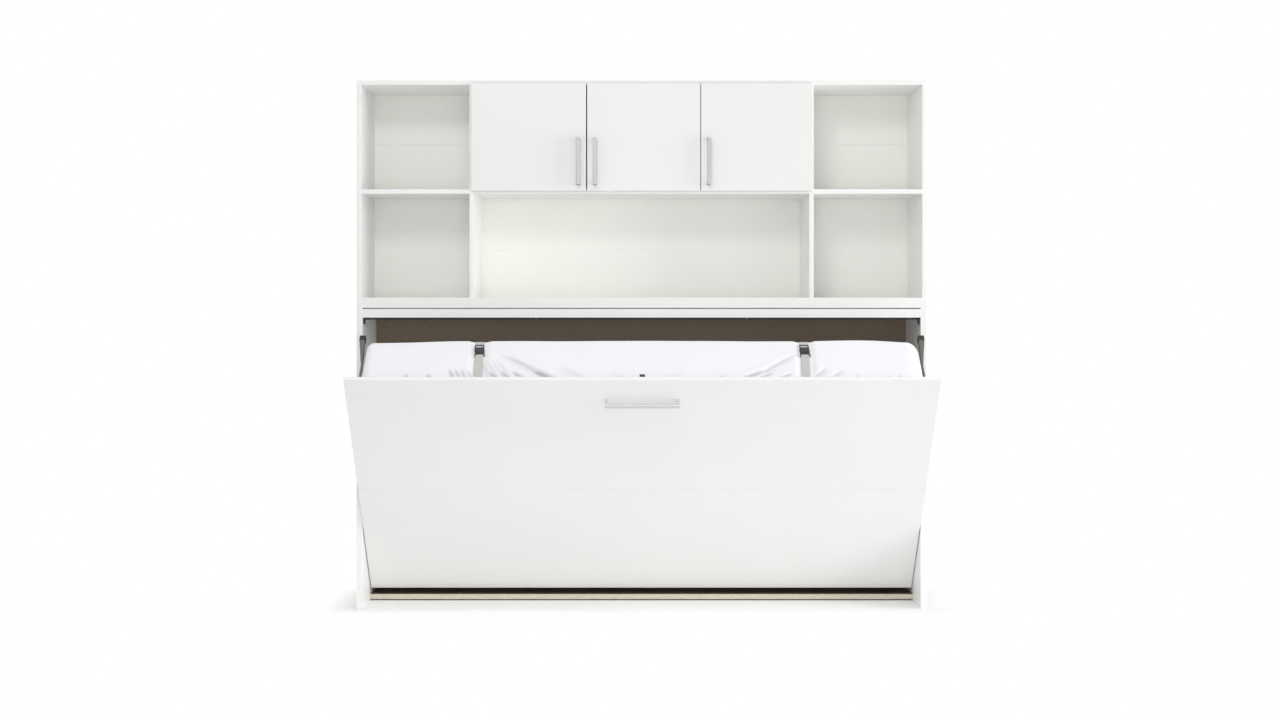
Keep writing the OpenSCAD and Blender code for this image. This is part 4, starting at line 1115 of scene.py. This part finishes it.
# The rail beside the slot, the leg and the prong on the right; those on the left mirror them
PLATES_ASIDE = [
    ([(WIDE - 1.9 * MM, BODY_HIGH - 2 * MM), (WIDE - 1.9 * MM, BUCKLE_L - 0.6 * MM),
      (WIDE - 5.6 * MM, BUCKLE_L - 0.6 * MM), (WIDE - 5.6 * MM, BODY_HIGH - 2 * MM)],
     1.0 * MM, BUCKLE_T - 1.0 * MM, 0.7 * MM),
    ([(HALF_W, 0.0), (HALF_W - 1.4 * MM, BAR_LOW), (HALF_W - 2.4 * MM, BAR_HIGH),
      (HALF_W - 5.6 * MM, BAR_HIGH), (HALF_W - 5.2 * MM, BAR_LOW), (HALF_W - 2.9 * MM, 0.0)],
     1.4 * MM, BUCKLE_T - 2.0 * MM, 0.7 * MM),
    ([(HALF_W - 2.6 * MM, BODY_LOW - 1 * MM), (HALF_W - 0.7 * MM, BODY_LOW + 10 * MM),
      (HALF_W - 1.2 * MM, BODY_LOW + 17 * MM), (HALF_W - 6.2 * MM, BODY_LOW + 17 * MM),
      (HALF_W - 6.4 * MM, BODY_LOW - 1 * MM)], 2.0 * MM, BUCKLE_T - 2.4 * MM, 0.8 * MM),
]


def hem_rows(face_s, bar_t):
    """Rows (t, s, normal t, normal s) of a hem, from its sewn end to where it turns up."""
    rows = [(t, face_s + HEM_LIFT + HEM_SWELL * math.sin((t - bar_t) / TAB_L * math.pi), 0.0, 1.0)
            for t in even_points(bar_t - TAB_L, bar_t, HEM_PITCH)]
    for i in range(TURN_STEPS + 1):
        angle = math.pi / 2 * i / TURN_STEPS
        rows.append((bar_t + TURN_R * math.sin(angle),
                     face_s + HEM_STEP + TURN_R * (1 - math.cos(angle)),
                     -math.sin(angle) * TURN_LEAN, 1.0))
    return rows


def make_straps():
    """Two straps over the mattress, each through its buckle and sewn back on itself below it."""
    face_s = BUCKLE_LOW.z
    bar_t = BUCKLE_LOW.y + BAR_LOW
    slot_t = BUCKLE_LOW.y + (SLOT_LOW + SLOT_HIGH) / 2
    for side, node in ((-1, "strap_left"), (1, "strap_right")):
        rows = []
        for t, s, normal_t, normal_s in strap_path():
            near = math.exp(-((t - slot_t) / THREAD_REACH) ** 2) if normal_s > 0.7 else 0.0
            rows.append((t + normal_t * THREAD_RISE * near, s + normal_s * THREAD_RISE * near,
                         normal_t, normal_s))
        foot_t, buckle_t = rows[0][0], BUCKLE_LOW.y

        def shift(t, normal_s):
            if normal_s < 0.9 or t > buckle_t:
                return 0.0
            return STRAP_FOOT_SKEW[side] * (buckle_t - t) / (buckle_t - foot_t)

        bm, hem, stitches = bmesh.new(), bmesh.new(), bmesh.new()
        add_band(bm, rows, side * STRAP_X, STRAP_W, WEBBING_T, shift)
        add_band(hem, hem_rows(face_s, bar_t), side * (STRAP_X + HEM_ASIDE),
                 STRAP_W - HEM_NARROWER, HEM_T)
        for row_t in STITCH_ROWS:
            for i in range(STITCH_COUNT):
                x = side * STRAP_X + (i - (STITCH_COUNT - 1) / 2) * STITCH_PITCH
                t = bar_t - TAB_L + row_t + STITCH_WANDER * math.sin(i * STITCH_WAVE)
                add_box(stitches, (x, t, face_s + STITCH_RISE), STITCH_SIZE, STITCH_R)
        merge(bm, hem, 1)
        merge(bm, stitches, 2)
        add_piece(node + "_webbing", bm, [WEBBING, WEBBING_HEM, STITCH_AND_SHADOW], "bed",
                  [node], matrix=BED)


def make_buckles():
    """Side-release buckles: a slotted body with its windows, and the part with two prongs."""
    plates = [(points + [(-x, t) for x, t in reversed(points)], *rest)
              for points, *rest in PLATES_ACROSS]
    for hand in (-1, 1):
        plates += [([(hand * x, t) for x, t in points], *rest) for points, *rest in PLATES_ASIDE]
    bm = bmesh.new()
    for side in (-1, 1):
        place = (Matrix.Translation((side * STRAP_X, BUCKLE_LOW.y + BUCKLE_L / 2, BUCKLE_LOW.z))
                 @ Matrix.Rotation(BUCKLE_TURN[side], 4, "Z")
                 @ Matrix.Translation((0, -BUCKLE_L / 2, 0)))
        for points, low_s, high_s, radius in plates:
            add_slab(bm, points, low_s, high_s, radius, place)
    add_piece("side_release_buckles", bm, [PLASTIC_BLACK], "bed",
              ["strap_buckles"], matrix=BED)


# ---------------- stage, light and camera

PHOTO_W = 1280
PHOTO_H = 720
CAMERA_PLACE = (-0.0406, -6.6698, 1.1369)
CAMERA_LENS = 50.80
CAMERA_SENSOR = 36.0
AXIS_PX = (630.63, 303.08)
VIEW_END = 100.0


def make_camera():
    """Level camera; its shift puts the optical axis where the photograph has it."""
    data = bpy.data.cameras.new("view_camera")
    data.lens = CAMERA_LENS
    data.sensor_width = CAMERA_SENSOR
    data.sensor_fit = "HORIZONTAL"
    data.shift_x = (PHOTO_W / 2 - AXIS_PX[0]) / PHOTO_W
    data.shift_y = (AXIS_PX[1] - PHOTO_H / 2) / PHOTO_W
    data.clip_end = VIEW_END
    camera = show(bpy.data.objects.new("view_camera", data))
    camera.location = CAMERA_PLACE
    camera.rotation_euler = (math.pi / 2, 0, 0)
    bpy.context.scene.camera = camera


def seen_directly(tree):
    """1 for rays from the camera or a mirror or glass surface, else 0."""
    path = tree.nodes.new("ShaderNodeLightPath")
    seen = math_node(tree, "MAXIMUM", path.outputs["Is Camera Ray"], path.outputs["Is Glossy Ray"])
    return math_node(tree, "MAXIMUM", seen, path.outputs["Is Transmission Ray"])


WORLD_LIGHT = 0.65


def make_world():
    """White where it is seen, and a soft even light on the object."""
    world = bpy.data.worlds.new("studio")
    bpy.context.scene.world = world
    world.use_nodes = True
    tree = world.node_tree
    background = tree.nodes["Background"]
    background.inputs["Color"].default_value = WHITE
    strength = remap(tree, seen_directly(tree), 0.0, 1.0, WORLD_LIGHT, 1.0)
    tree.links.new(strength, background.inputs["Strength"])


FLOOR_HALF = 16.0
FLOOR_WHITE = (0.96, 0.96, 0.96, 1.0)
SHADE_FADE = 0.13
SHADE_POWER = 0.6


def make_floor():
    """White floor, shaded under the object, that runs out to plain white round it."""
    bm = bmesh.new()
    bmesh.ops.create_grid(bm, x_segments=1, y_segments=1, size=FLOOR_HALF)
    mesh = bpy.data.meshes.new("floor")
    bm.to_mesh(mesh)
    bm.free()
    floor = show(bpy.data.objects.new("floor", mesh))
    material = bpy.data.materials.new("floor_white")
    material.use_nodes = True
    tree = material.node_tree
    tree.nodes.clear()
    out = tree.nodes.new("ShaderNodeOutputMaterial")
    cloth = tree.nodes.new("ShaderNodeBsdfDiffuse")
    cloth.inputs["Color"].default_value = FLOOR_WHITE
    white = tree.nodes.new("ShaderNodeEmission")
    white.inputs["Color"].default_value = WHITE
    place = tree.nodes.new("ShaderNodeTexCoord")
    split = tree.nodes.new("ShaderNodeSeparateXYZ")
    tree.links.new(place.outputs["Object"], split.inputs[0])
    low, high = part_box("cabinet_side_left")[0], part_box("cabinet_side_right")[1]
    beyond = []
    for axis, first, last in (("X", low.x, high.x), ("Y", low.y, high.y)):
        middle, half = (first + last) / 2, (last - first) / 2
        reach = math_node(tree, "ABSOLUTE", math_node(tree, "SUBTRACT", split.outputs[axis], middle))
        beyond.append(math_node(tree, "MAXIMUM", math_node(tree, "SUBTRACT", reach, half), 0.0))
    squares = [math_node(tree, "MULTIPLY", value, value) for value in beyond]
    distance = math_node(tree, "SQRT", math_node(tree, "ADD", *squares))
    far = math_node(tree, "POWER", remap(tree, distance, 0.0, SHADE_FADE, 0.0, 1.0),
                    SHADE_POWER)
    mix = tree.nodes.new("ShaderNodeMixShader")
    tree.links.new(math_node(tree, "MULTIPLY", far, seen_directly(tree)), mix.inputs[0])
    tree.links.new(cloth.outputs[0], mix.inputs[1])
    tree.links.new(white.outputs[0], mix.inputs[2])
    tree.links.new(mix.outputs[0], out.inputs["Surface"])
    mesh.materials.append(material)


# Name, place, what it looks at, width, height, power and the full angle of its beam
LAMPS = [
    ("high_lamp", (-0.6, -4.0, 3.3), (0.0, 0.0, 1.0), 0.7, 0.7, 28.0, 180.0),
    ("side_lamp", (5.5, -1.73, 1.45), (0.0, 0.0, 1.0), 2.8, 2.0, 146.0, 180.0),
    ("front_lamp", (0.0, -6.6, 1.1), (0.0, 0.0, 1.0), 1.6, 1.6, 60.0, 180.0),
    ("low_strip", (0.0, -2.6, 0.12), (0.0, -0.2, -0.05), 3.2, 0.3, 2.1, 52.0),
]


def make_lamps():
    """Oblong soft lamps: high in front, on the right, in front, and a low strip for the bed."""
    for name, place, target, width, height, power, beam in LAMPS:
        data = bpy.data.lights.new(name, "AREA")
        data.shape = "RECTANGLE"
        data.size = width
        data.size_y = height
        data.spread = math.radians(beam)
        data.energy = power
        lamp = show(bpy.data.objects.new(name, data))
        lamp.location = place
        lamp.rotation_euler = (Vector(target) - Vector(place)).to_track_quat("-Z", "Y").to_euler()


# ---------------- the whole thing

make_camera()
make_world()
make_floor()
make_lamps()
make_boards()
make_doors()
make_fittings()
make_screws()
make_back_nails()
make_bed_boards()
make_legs()
make_mattress()
make_straps()
make_buckles()
bpy.context.scene.view_settings.view_transform = "Standard"
